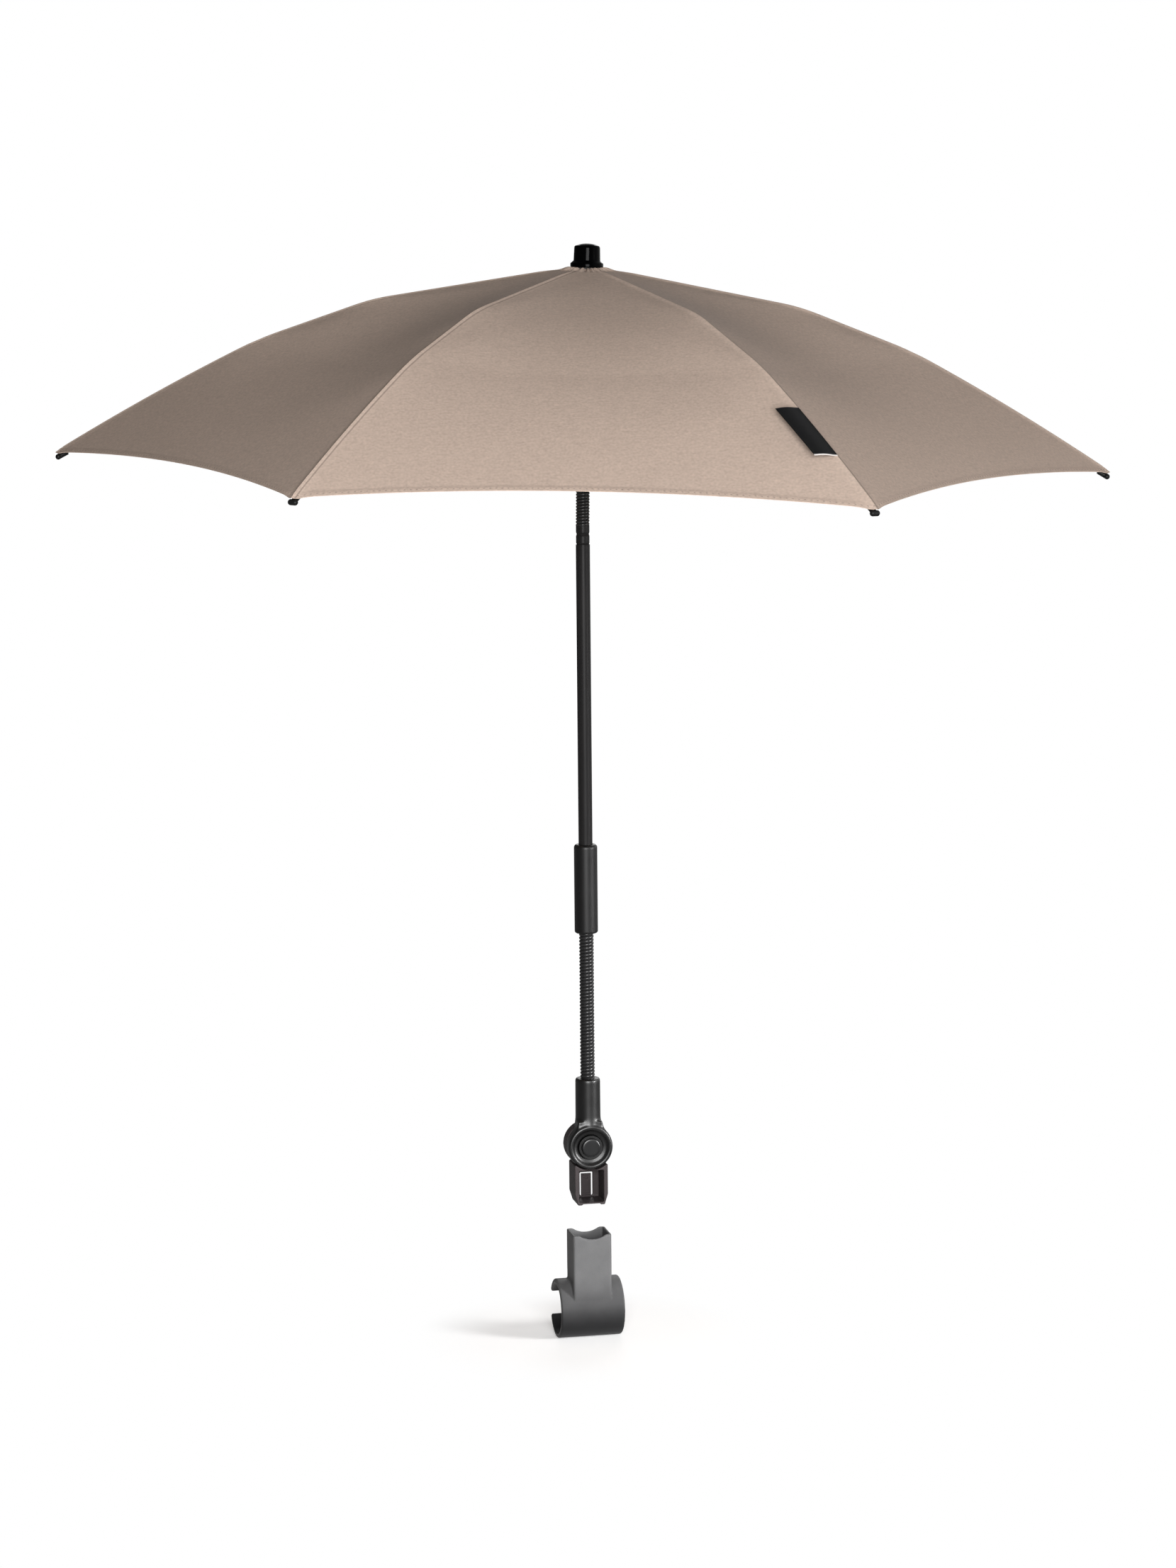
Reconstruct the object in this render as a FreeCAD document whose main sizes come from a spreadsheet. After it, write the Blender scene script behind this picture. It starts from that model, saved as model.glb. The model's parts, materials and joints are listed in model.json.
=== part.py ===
import FreeCAD, Part
import math
import os

import Sketcher
from FreeCAD import Placement, Rotation, Vector

# Driving dimensions of the pram parasol, in millimetres, degrees and counts.
SIZES = {
    # Clip: a C-shaped clamp ring round the pram's tube, with a socket block on top
    "clip_bore_radius": 17.5,
    "clip_wall": 3.6,
    "clip_length": 46.0,
    "clip_mouth": 16.6,
    "clip_edge_round": 1.0,
    "socket_forward": 7.1,
    "socket_wall": 1.7,
    "socket_fit": 0.2,
    "socket_floor": 7.3,
    "socket_top": 56.5,
    "socket_corner_round": 1.4,
    "saddle_gap": 0.6,
    "window_margin": 0.8,
    # Plug: a channel open to the front, under the rear cheek of the tilt joint
    "plug_width": 23.8,
    "plug_depth": 20.5,
    "plug_drop": 41.4,
    "plug_shoulder": 12.5,
    "plug_taper": 2.3,
    "plug_taper_height": 7.5,
    "plug_back_wall": 2.6,
    "plug_lift": 49.4,
    "seat_gap": 0.3,
    "recess_width": 17.9,
    "foot_width": 2.4,
    "foot_height": 0.8,
    "plug_floor": 1.8,
    "tongue_width": 7.0,
    "tongue_length": 15.3,
    "tongue_thickness": 2.0,
    "tongue_slot": 1.2,
    "tongue_root_rise": 3.2,
    "tongue_root_gap": 0.08,
    "nub_radius": 1.6,
    "nub_proud": 1.1,
    "nub_width": 4.4,
    "nub_drop": 2.5,
    "dimple_radius": 1.25,
    "tongue_mark_depth": 0.5,
    # Tilt joint: front disc of the knuckle against the rear cheek of the plug
    "disc_radius": 16.0,
    "disc_gap": 0.3,
    "disc_clearance": 0.5,
    "disc_rim_round": 2.0,
    "dish_radius": 13.6,
    "dish_depth": 2.4,
    "well_depth": 7.4,
    "neck_rise": 48.5,
    "neck_top_radius": 8.8,
    "neck_waist_radius": 8.9,
    "neck_base_radius": 10.2,
    "neck_flare_low": 10.0,
    "neck_flare_high": 20.0,
    "neck_edge_round": 0.9,
    "gusset_radius": 12.0,
    "gusset_depth": 8.5,
    "bezel_radius": 8.4,
    "bezel_thickness": 2.0,
    "bezel_sunk": 1.2,
    "button_radius": 6.75,
    "button_fit": 0.1,
    "button_proud": 0.9,
    "button_edge_round": 0.9,
    "button_roof": 1.2,
    "button_skirt": 1.5,
    "button_collar": 1.0,
    "button_collar_radius": 8.1,
    "button_stop_gap": 0.2,
    "spring_radius": 4.5,
    "spring_wire": 0.6,
    "spring_seat_gap": 0.1,
    "bolt_radius": 3.0,
    "bolt_fit": 0.06,
    "bolt_head_radius": 3.7,
    "bolt_head_height": 2.0,
    "bolt_head_gap": 0.1,
    "nut_flats": 10.0,
    "nut_thickness": 3.6,
    "nut_recess": 0.6,
    "press_fit": 0.02,
    "index_radius": 13.0,
    "index_bore": 9.0,
    "index_thickness": 2.0,
    "index_recess": 0.1,
    "index_teeth": 24,
    "index_tooth_width": 0.9,
    "index_tooth_depth": 0.7,
    # Lower flexible arm and the shaft
    "lower_neck_radius": 5.15,
    "lower_neck_length": 104.0,
    "lower_neck_pitch": 2.4,
    "lower_neck_groove": 0.75,
    "lower_neck_bore": 3.0,
    "lower_neck_spigot": 12.0,
    "spigot_radius": 4.0,
    "sleeve_radius": 8.2,
    "sleeve_length": 63.0,
    "sleeve_top_round": 2.2,
    "sleeve_foot_chamfer": 0.9,
    "shaft_radius": 4.9,
    "shaft_wall": 0.9,
    "shaft_show": 210.5,
    "shaft_insert": 30.0,
    "ferrule_radius": 4.7,
    "ferrule_waist": 4.25,
    "ferrule_length": 14.5,
    "ferrule_bulge_run": 1.35,
    "ferrule_insert": 12.0,
    # Upper flexible arm and the rigid tube in the canopy
    "upper_neck_radius": 4.6,
    "upper_neck_length": 36.0,
    "upper_neck_pitch": 2.1,
    "upper_neck_groove": 0.65,
    "upper_neck_bore": 2.4,
    "canopy_lean": 1.6,
    "canopy_yaw": -12.0,
    "collar_radius": 5.0,
    "collar_length": 2.0,
    "collar_spigot": 13.0,
    "upper_tube_radius": 4.0,
    "upper_tube_wall": 0.8,
    "upper_tube_rise": 13.0,
    "apex_rise": 158.0,
    # Crown, finial and fabric
    "hub_radius": 14.5,
    "hub_height": 9.0,
    "hub_chamfer": 2.4,
    "hub_chamfer_reach": 4.8,
    "hub_slot_floor": 8.5,
    "hub_slot_gap": 0.3,
    "hub_fabric_gap": 0.5,
    "crown_wire_reach": 11.5,
    "crown_wire_radius": 0.8,
    "rib_eye_gap": 0.2,
    "washer_radius": 10.0,
    "washer_thickness": 0.6,
    "finial_flange_radius": 11.35,
    "finial_flange_height": 5.0,
    "finial_flange_edge": 3.2,
    "finial_foot_radius": 9.2,
    "finial_top_radius": 8.85,
    "finial_height": 17.0,
    "finial_dome_rise": 2.0,
    "finial_dome_round": 1.6,
    "fabric_thickness": 0.8,
    "fabric_sides": 6,
    "apex_flat": 11.0,
    "first_bend_reach": 147.0,
    "first_bend_drop": 24.5,
    "second_bend_reach": 225.0,
    "second_bend_drop": 53.5,
    "tip_reach": 364.5,
    "tip_drop": 133.5,
    "hem_arch": 9.5,
    "fabric_hole_gap": 0.15,
    "apex_softness": 5.0,
    "rib_softness": 12.0,
    "panel_softness": 100.0,
    "panel_sag": 3.5,
    "bend_spread": 8.0,
    # Ribs, stretchers and runner
    "rib_depth": 4.6,
    "rib_width": 3.6,
    "rib_height": 4.2,
    "rib_wall": 0.7,
    "rib_solid_root": 9.0,
    "rod_radius": 1.05,
    "rod_insert": 14.0,
    "rod_web_gap": 0.1,
    "rod_tip_depth": 3.7,
    "tip_width": 7.0,
    "tip_radius": 1.95,
    "tip_length": 9.0,
    "tip_proud": 1.5,
    "tip_hole_depth": 6.0,
    "rivet_reach": 62.0,
    "rivet_drop": 1.0,
    "rivet_radius": 0.8,
    "rivet_head_radius": 1.5,
    "rivet_head_height": 0.5,
    "rivet_fit": 0.08,
    "stretcher_thickness": 1.4,
    "stretcher_half_width": 1.9,
    "runner_reach": 11.3,
    "runner_drop": 44.0,
    "runner_flange_radius": 15.5,
    "runner_flange_height": 8.0,
    "runner_sleeve_radius": 7.5,
    "runner_sleeve_rise": 22.0,
    "runner_lip_radius": 9.0,
    "runner_lip_height": 2.5,
    "runner_fit": 0.1,
    "runner_slot_width": 2.2,
    "runner_slot_floor": 8.6,
    "catch_gap": 0.5,
    "catch_length": 13.0,
    "catch_width": 2.2,
    "catch_inner": 0.4,
    "catch_outer": 2.8,
    "catch_nose_reach": 5.6,
    "catch_nose_height": 4.0,
    "catch_eye_radius": 1.2,
    "catch_slot_gap": 0.3,
    "catch_slot_rise": 0.8,
    "catch_pin_radius": 0.6,
    "catch_pin_fit": 0.06,
    # Woven tag sewn into one seam
    "tag_tip_gap": 110.0,
    "tag_length": 53.0,
    "tag_width": 17.0,
    "tag_thickness": 0.5,
    "tag_lift": 0.35,
    "tag_seam_gap": 0.6,
    "tag_rib": 5,
}

doc = FreeCAD.newDocument("PramParasol")
nodes = []

FULL_TURN = 360.0
NO_TURN = Rotation()
TO_FRONT = Rotation(Vector(1, 0, 0), 90)
TO_BACK = Rotation(Vector(1, 0, 0), -90)
TO_RIGHT = Rotation(Vector(0, 1, 0), 90)
OVERSHOOT = 1.0
NEARNESS = 1e-4
DOME_SHARES = (1.0, 0.6, 0.3)


class Size:
    """A sheet value, or a sum of such values, kept as a number and as an expression."""

    def __init__(self, value, text):
        self.value = value
        self.text = text

    def __float__(self):
        return float(self.value)

    def __add__(self, other):
        other = as_size(other)
        return Size(self.value + other.value, f"({self.text} + {other.text})")

    def __radd__(self, other):
        return as_size(other) + self

    def __sub__(self, other):
        other = as_size(other)
        return Size(self.value - other.value, f"({self.text} - {other.text})")

    def __rsub__(self, other):
        return as_size(other) - self

    def __mul__(self, factor):
        return Size(self.value * factor, f"({self.text} * {factor})")

    __rmul__ = __mul__

    def __truediv__(self, factor):
        return Size(self.value / factor, f"({self.text} / {factor})")

    def __neg__(self):
        return Size(-self.value, f"(-{self.text})")


def as_size(number):
    """A plain number as a Size."""
    if isinstance(number, Size):
        return number
    return Size(float(number), f"{float(number):.6f}")


class Sizes:
    """The driving dimensions, read back from the sheet by name."""

    def __init__(self, sheet):
        for row, (name, number) in enumerate(SIZES.items(), start=1):
            sheet.set(f"A{row}", name)
            sheet.set(f"B{row}", str(number))
            sheet.setAlias(f"B{row}", name)
        doc.recompute()
        for name in SIZES:
            setattr(self, name, Size(float(sheet.get(name)), f"{sheet.Name}.{name}"))


d = Sizes(doc.addObject("Spreadsheet::Sheet", "Sizes"))


def bind(item, prop, size):
    """Ties one property of a document object to a size."""
    item.setExpression(prop, as_size(size).text)


def place(item, base=(0, 0, 0), turn=NO_TURN):
    """Puts an object at a base point that follows the sheet, turned as given."""
    item.Placement = Placement(Vector(), turn)
    for axis, size in zip("xyz", base):
        bind(item, f"Placement.Base.{axis}", size)
    return item


def keep(item, base=(0, 0, 0), turn=NO_TURN):
    """Places a finished sub-part and lists it for export."""
    place(item, base, turn)
    nodes.append(item)
    return item


# Building blocks: primitives and booleans

def box(name, low, high):
    """A box between two corners."""
    item = doc.addObject("Part::Box", name)
    for prop, start, end in zip(("Length", "Width", "Height"), low, high):
        bind(item, prop, as_size(end) - start)
    return place(item, low)


def cylinder(name, radius, length, base=(0, 0, 0), turn=NO_TURN):
    """A cylinder that starts at its base point and runs along its turned Z axis."""
    item = doc.addObject("Part::Cylinder", name)
    bind(item, "Radius", radius)
    bind(item, "Height", length)
    return place(item, base, turn)


def fuse(name, items):
    """Several solids joined into one."""
    item = doc.addObject("Part::MultiFuse", name)
    item.Shapes = items
    item.Refine = True
    return item


def cut(name, base, tools):
    """A solid with other solids taken out of it."""
    item = doc.addObject("Part::Cut", name)
    item.Base = base
    item.Tool = tools[0] if len(tools) == 1 else fuse(name + "_cutters", tools)
    return item


def solid(name, shape):
    """A sub-part whose shape is worked out in code from the sheet's values."""
    item = doc.addObject("Part::Feature", name)
    item.Shape = shape
    return item


# Building blocks: bodies made from sketches

def sketch_on(body, role, name, offset=0):
    """An empty sketch on one of a body's own planes, moved along the plane's normal."""
    sketch = body.newObject("Sketcher::SketchObject", name)
    plane = next(item for item in body.Origin.OriginFeatures if item.Role == role)
    sketch.AttachmentSupport = (plane, [""])
    sketch.MapMode = "FlatFace"
    bind(sketch, "AttachmentOffset.Base.z", offset)
    return sketch


def pin_point(sketch, geometry, end, across, along):
    """Holds one point of a sketch at its two distances from the sketch's origin."""
    for kind, axis_line, size in (("DistanceX", -2, across), ("DistanceY", -1, along)):
        size = as_size(size)
        if size.value == 0.0:
            sketch.addConstraint(Sketcher.Constraint("PointOnObject", geometry, end, axis_line))
            continue
        index = sketch.addConstraint(Sketcher.Constraint(kind, -1, 1, geometry, end, size.value))
        bind(sketch, f"Constraints[{index}]", size)


def outline(sketch, points):
    """Draws a closed polygon whose corners follow the sheet."""
    corners = [Vector(float(as_size(x)), float(as_size(y)), 0) for x, y in points]
    count = len(corners)
    for index in range(count):
        sketch.addGeometry(Part.LineSegment(corners[index], corners[(index + 1) % count]))
    for index in range(count):
        sketch.addConstraint(Sketcher.Constraint("Coincident", index, 2, (index + 1) % count, 1))
    for index, (across, along) in enumerate(points):
        pin_point(sketch, index, 1, across, along)
    return sketch


def circle(sketch, centre, radius):
    """Draws a circle whose centre and radius follow the sheet."""
    middle = Vector(float(as_size(centre[0])), float(as_size(centre[1])), 0)
    index = sketch.addGeometry(Part.Circle(middle, Vector(0, 0, 1), float(as_size(radius))))
    if middle.Length == 0.0:
        sketch.addConstraint(Sketcher.Constraint("Coincident", index, 3, -1, 1))
    else:
        pin_point(sketch, index, 3, *centre)
    size = sketch.addConstraint(Sketcher.Constraint("Radius", index, float(as_size(radius))))
    bind(sketch, f"Constraints[{size}]", radius)
    return sketch


def pad(body, sketch, length, both=False):
    """Raises a sketch into a solid, to one side or evenly to both."""
    item = body.newObject("PartDesign::Pad", sketch.Name + "_pad")
    item.Profile = (sketch, [""])
    item.SideType = "Symmetric" if both else "One side"
    bind(item, "Length", length)
    doc.recompute()
    return item


def pocket(body, sketch, length, both=False):
    """Cuts a sketch out of a body and makes sure that it took something away."""
    before = body.Shape.Volume
    item = body.newObject("PartDesign::Pocket", sketch.Name + "_pocket")
    item.Profile = (sketch, [""])
    item.SideType = "Symmetric" if both else "One side"
    bind(item, "Length", length)
    doc.recompute()
    if not body.Shape.Volume < before:
        raise RuntimeError(f"{item.Name} cuts nothing")
    return item


def round_edges(body, size, wanted):
    """Rounds the edges of a body's last feature that pass a test."""
    base = body.Tip
    names = [f"Edge{index}" for index, edge in enumerate(base.Shape.Edges, start=1) if wanted(edge)]
    if not names:
        raise RuntimeError(f"{body.Name} has no such edge to round")
    item = body.newObject("PartDesign::Fillet", f"{body.Name}_round_{len(body.Group)}")
    item.Base = (base, names)
    bind(item, "Radius", size)
    doc.recompute()
    return item


def turned(name, points):
    """A body turned about its Z axis from an outline of (radius, height) points."""
    body = doc.addObject("PartDesign::Body", name)
    profile = outline(sketch_on(body, "XZ_Plane", name + "_profile"), points)
    item = body.newObject("PartDesign::Revolution", name + "_turning")
    item.Profile = (profile, [""])
    item.ReferenceAxis = (profile, ["V_Axis"])
    item.Angle = FULL_TURN
    doc.recompute()
    return body


def ring_edge(radius, height):
    """A test for the circular edge of a turned body at a radius and a height."""
    def wanted(edge):
        curve = edge.Curve
        if not isinstance(curve, Part.Circle):
            return False
        return abs(curve.Radius - float(radius)) < NEARNESS and abs(curve.Center.z - float(height)) < NEARNESS
    return wanted


# Places that several sub-parts share

SHAFT_Y = -d.socket_forward
CLIP_OUTER = d.clip_bore_radius + d.clip_wall
SOCKET_FLOOR_Z = CLIP_OUTER + d.socket_floor
SEATED_PIVOT_Z = SOCKET_FLOOR_Z + d.seat_gap + d.plug_drop
PIVOT_Z = SEATED_PIVOT_Z + d.plug_lift
PIVOT = (0, SHAFT_Y, PIVOT_Z)
HALF_DEPTH = d.plug_depth / 2
HALF_GAP = d.disc_gap / 2
WELL_FLOOR = HALF_DEPTH - d.well_depth
TONGUE_ROOT_Z = d.tongue_root_rise - d.plug_drop
TONGUE_TOP_Z = TONGUE_ROOT_Z + d.tongue_length
NUB_Z = TONGUE_TOP_Z - d.nub_drop
TONGUE_FRONT_Y = HALF_DEPTH - d.tongue_thickness
TONGUE_AXIS_Y = HALF_DEPTH - d.tongue_thickness / 2
NECK_TOP_Z = PIVOT_Z + d.neck_rise
SLEEVE_Z = NECK_TOP_Z + d.lower_neck_length
SHAFT_FOOT_Z = SLEEVE_Z + d.sleeve_length - d.shaft_insert
FERRULE_Z = SLEEVE_Z + d.sleeve_length + d.shaft_show
BEND_Z = FERRULE_Z + d.ferrule_length + d.upper_neck_length / 2
BEND = (0, SHAFT_Y, BEND_Z)
YAW = Rotation(Vector(0, 0, 1), float(d.canopy_yaw))
LEAN = YAW * Rotation(Vector(0, 1, 0), float(d.canopy_lean))
TUBE_FOOT_Z = d.upper_neck_length / 2 + d.collar_length
FABRIC_UNDER_Z = d.apex_rise - d.fabric_thickness
HUB_TOP_Z = FABRIC_UNDER_Z - d.hub_fabric_gap
RIB_COUNT = int(float(d.fabric_sides))
RIB_STEP = FULL_TURN / RIB_COUNT


def rib_turn(index):
    """The turn from the first rib's plane to another rib's, with the canopy's lean."""
    return LEAN * Rotation(Vector(0, 0, 1), RIB_STEP * index)


class RibLine:
    """The line of one rib in its own upright plane, as (reach, height) points."""

    def __init__(self):
        apex = float(d.apex_rise)
        self.ridge = [
            Vector(float(d.apex_flat), 0, apex),
            Vector(float(d.first_bend_reach), 0, apex - float(d.first_bend_drop)),
            Vector(float(d.second_bend_reach), 0, apex - float(d.second_bend_drop)),
            Vector(float(d.tip_reach), 0, apex - float(d.tip_drop)),
        ]
        self.along = [(end - start).normalize() for start, end in zip(self.ridge, self.ridge[1:])]
        self.under = [Vector(way.z, 0, -way.x) for way in self.along]
        first = self.along[0]
        start = self.below(0, float(d.rib_depth))[0]
        self.hinge = start + first * ((float(d.crown_wire_reach) - start.x) / first.x)
        self.rivet = self.hinge + first * float(d.rivet_reach) + self.under[0] * float(d.rivet_drop)
        self.runner = Vector(float(d.runner_reach), 0, self.hinge.z - float(d.runner_drop))

    def below(self, span, depth):
        """One straight span of the ridge, moved under the fabric by a depth."""
        shift = self.under[span] * depth
        return self.ridge[span] + shift, self.ridge[span + 1] + shift

    def corner(self, bend, depth):
        """The point under a bend of the ridge where both spans have the same depth."""
        half_sum = (self.under[bend - 1] + self.under[bend]).normalize()
        return self.ridge[bend] + half_sum * (depth / half_sum.dot(self.under[bend]))


rib = RibLine()


# Clip

def clip_ring(body):
    """The open ring's section: two arcs about the bore joined by rounded lips."""
    sketch = sketch_on(body, "YZ_Plane", "clip_ring")
    inner, outer = float(d.clip_bore_radius), float(CLIP_OUTER)
    middle, lip = (inner + outer) / 2, float(d.clip_wall) / 2
    lip_height = d.clip_mouth / 2 + d.clip_wall / 2
    angle = math.asin(float(lip_height) / middle)
    up = Vector(0, 0, 1)
    centre = Part.Circle(Vector(), up, outer)
    bore = Part.Circle(Vector(), up, inner)
    sketch.addGeometry(Part.ArcOfCircle(centre, angle, 2 * math.pi - angle))
    sketch.addGeometry(Part.ArcOfCircle(bore, angle, 2 * math.pi - angle))
    for side in (1, -1):
        spot = Vector(middle * math.cos(angle), side * middle * math.sin(angle), 0)
        start, end = (angle - math.pi, angle) if side > 0 else (-angle, math.pi - angle)
        sketch.addGeometry(Part.ArcOfCircle(Part.Circle(spot, up, lip), start, end))
    for arc, radius in ((0, CLIP_OUTER), (1, d.clip_bore_radius)):
        sketch.addConstraint(Sketcher.Constraint("Coincident", arc, 3, -1, 1))
        index = sketch.addConstraint(Sketcher.Constraint("Radius", arc, float(radius)))
        bind(sketch, f"Constraints[{index}]", radius)
    for first, first_end, second, second_end in ((0, 1, 2, 2), (1, 1, 2, 1), (0, 2, 3, 1), (1, 2, 3, 2)):
        sketch.addConstraint(Sketcher.Constraint("Tangent", first, first_end, second, second_end))
    for arc, height in ((2, lip_height), (3, -lip_height)):
        index = sketch.addConstraint(Sketcher.Constraint("DistanceY", -1, 1, arc, 3, float(height)))
        bind(sketch, f"Constraints[{index}]", height)
    return sketch


def rectangle(sketch, low, high):
    """Draws a rectangle between two corners."""
    return outline(sketch, [low, (high[0], low[1]), high, (low[0], high[1])])


def make_clip():
    body = doc.addObject("PartDesign::Body", "clip")
    pad(body, clip_ring(body), d.clip_length, both=True)
    end_x = float(d.clip_length) / 2
    round_edges(body, d.clip_edge_round, lambda edge: abs(abs(edge.CenterOfMass.x) - end_x) < NEARNESS)
    half_x = d.plug_width / 2 + d.socket_fit
    half_y = HALF_DEPTH + d.socket_fit
    wall_x, wall_y = half_x + d.socket_wall, half_y + d.socket_wall
    block = sketch_on(body, "XY_Plane", "clip_block")
    pad(body, rectangle(block, (-wall_x, SHAFT_Y - wall_y), (wall_x, SHAFT_Y + wall_y)), d.socket_top)

    def upright_corner(edge):
        upright = isinstance(edge.Curve, Part.Line) and abs(edge.Curve.Direction.z) > 1 - NEARNESS
        at_side = abs(abs(edge.CenterOfMass.x) - float(wall_x)) < NEARNESS
        return upright and at_side and edge.BoundBox.ZMax > float(d.socket_top) - NEARNESS

    round_edges(body, d.socket_corner_round, upright_corner)
    bore = circle(sketch_on(body, "YZ_Plane", "clip_bore"), (0, 0), d.clip_bore_radius)
    pocket(body, bore, d.clip_length, both=True)
    socket = sketch_on(body, "XY_Plane", "clip_socket", d.socket_top)
    rectangle(socket, (-half_x, SHAFT_Y - half_y), (half_x, SHAFT_Y + half_y))
    pocket(body, socket, d.socket_top - SOCKET_FLOOR_Z)
    saddle = sketch_on(body, "XZ_Plane", "clip_saddle")
    circle(saddle, (0, SEATED_PIVOT_Z), d.disc_radius + d.saddle_gap)
    pocket(body, saddle, d.clip_length * 2, both=True)
    window = sketch_on(body, "XZ_Plane", "clip_window")
    window_x = d.nub_width / 2 + d.window_margin
    window_z = d.nub_radius + d.window_margin
    nub_z = SEATED_PIVOT_Z + NUB_Z
    rectangle(window, (-window_x, nub_z - window_z), (window_x, nub_z + window_z))
    pocket(body, window, SHAFT_Y + wall_y + OVERSHOOT)
    keep(body)


# Plug, drawn about the tilt joint's pivot

def prism(name, points, depth, base_y):
    """A solid with an outline in the upright plane, from base_y backwards by a depth."""
    sketch = doc.addObject("Sketcher::SketchObject", name + "_outline")
    place(sketch, (0, base_y, 0), TO_FRONT)
    outline(sketch, points)
    item = doc.addObject("Part::Extrusion", name)
    item.Base = sketch
    item.DirMode = "Normal"
    item.Solid = True
    item.Reversed = True
    bind(item, "LengthFwd", depth)
    return item


def hexagon_points(flats):
    """Corner points of a hexagon, given the width across its flats."""
    corner = flats / (2 * math.cos(math.pi / 6))
    angles = [math.pi * step / 3 for step in range(6)]
    return [(corner * round(math.cos(turn), 9), corner * round(math.sin(turn), 9)) for turn in angles]


def make_plug():
    half = d.plug_width / 2
    narrow = half - d.plug_taper
    taper_z = d.plug_taper_height - d.plug_drop
    block = prism("plug_block", [
        (-half, -d.plug_shoulder), (-half, taper_z), (-narrow, -d.plug_drop),
        (narrow, -d.plug_drop), (half, taper_z), (half, -d.plug_shoulder),
    ], d.plug_depth, -HALF_DEPTH)
    sweep = cylinder("plug_disc_room", d.disc_radius + d.disc_clearance, HALF_DEPTH + HALF_GAP + OVERSHOOT,
                     (0, HALF_GAP, 0), TO_FRONT)
    channel = box("plug_recess", (-d.recess_width / 2, -HALF_DEPTH - OVERSHOOT, d.plug_floor - d.plug_drop),
                  (d.recess_width / 2, HALF_DEPTH - d.plug_back_wall, -d.disc_radius - d.disc_clearance))
    sole_x = d.recess_width / 2 - d.foot_width
    sole = box("plug_sole", (-sole_x, -HALF_DEPTH - OVERSHOOT, -d.plug_drop - OVERSHOOT),
               (sole_x, HALF_DEPTH + OVERSHOOT, d.foot_height - d.plug_drop))
    lower = cut("plug_channel", block, [sweep, channel, sole])
    cheek = cylinder("plug_cheek", d.disc_radius, HALF_DEPTH - HALF_GAP, (0, HALF_GAP, 0), TO_BACK)
    slot_x = d.tongue_width / 2 + d.tongue_slot
    slot = box("tongue_window", (-slot_x, HALF_DEPTH - d.plug_back_wall - OVERSHOOT, TONGUE_ROOT_Z),
               (slot_x, HALF_DEPTH + OVERSHOOT, TONGUE_TOP_Z + d.tongue_slot))
    groove = cylinder("tongue_groove", d.tongue_thickness / 2 + d.tongue_root_gap, slot_x * 2,
                      (-slot_x, TONGUE_AXIS_Y, TONGUE_ROOT_Z), TO_RIGHT)
    ring_seat = cylinder("index_seat", d.index_radius + d.press_fit, d.index_thickness + d.index_recess,
                         (0, HALF_GAP, 0), TO_BACK)
    bolt_hole = cylinder("cheek_bolt_hole", d.bolt_radius + d.press_fit, d.plug_depth, (0, 0, 0), TO_BACK)
    nut_seat = prism("nut_seat", hexagon_points(d.nut_flats + 2 * d.press_fit),
                     d.nut_thickness + d.nut_recess, HALF_DEPTH - d.nut_thickness - d.nut_recess)
    shell = cut("plug_shell", fuse("plug_solid", [lower, cheek]),
                [slot, groove, ring_seat, bolt_hole, nut_seat])
    keep(shell, PIVOT)


def make_latch_tongue():
    half = d.tongue_width / 2
    blade = box("tongue_blade", (-half, TONGUE_FRONT_Y, TONGUE_ROOT_Z), (half, HALF_DEPTH, TONGUE_TOP_Z))
    root = cylinder("tongue_root", d.tongue_thickness / 2, d.tongue_width,
                    (-half, TONGUE_AXIS_Y, TONGUE_ROOT_Z), TO_RIGHT)
    nub = cylinder("tongue_nub", d.nub_radius, d.nub_width,
                   (-d.nub_width / 2, HALF_DEPTH + d.nub_proud - d.nub_radius, NUB_Z), TO_RIGHT)
    dimple = cylinder("tongue_dimple", d.dimple_radius, d.tongue_mark_depth + OVERSHOOT,
                      (0, TONGUE_FRONT_Y - OVERSHOOT, NUB_Z), TO_BACK)
    panel_half = d.tongue_width / 2 - d.tongue_slot
    panel = box("tongue_panel",
                (-panel_half, TONGUE_FRONT_Y - OVERSHOOT, TONGUE_ROOT_Z + d.tongue_slot),
                (panel_half, TONGUE_FRONT_Y + d.tongue_mark_depth, NUB_Z - d.dimple_radius * 2))
    tongue = cut("latch_tongue", fuse("tongue_solid", [blade, root, nub]), [dimple, panel])
    keep(tongue, PIVOT)


# Tilt joint

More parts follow.
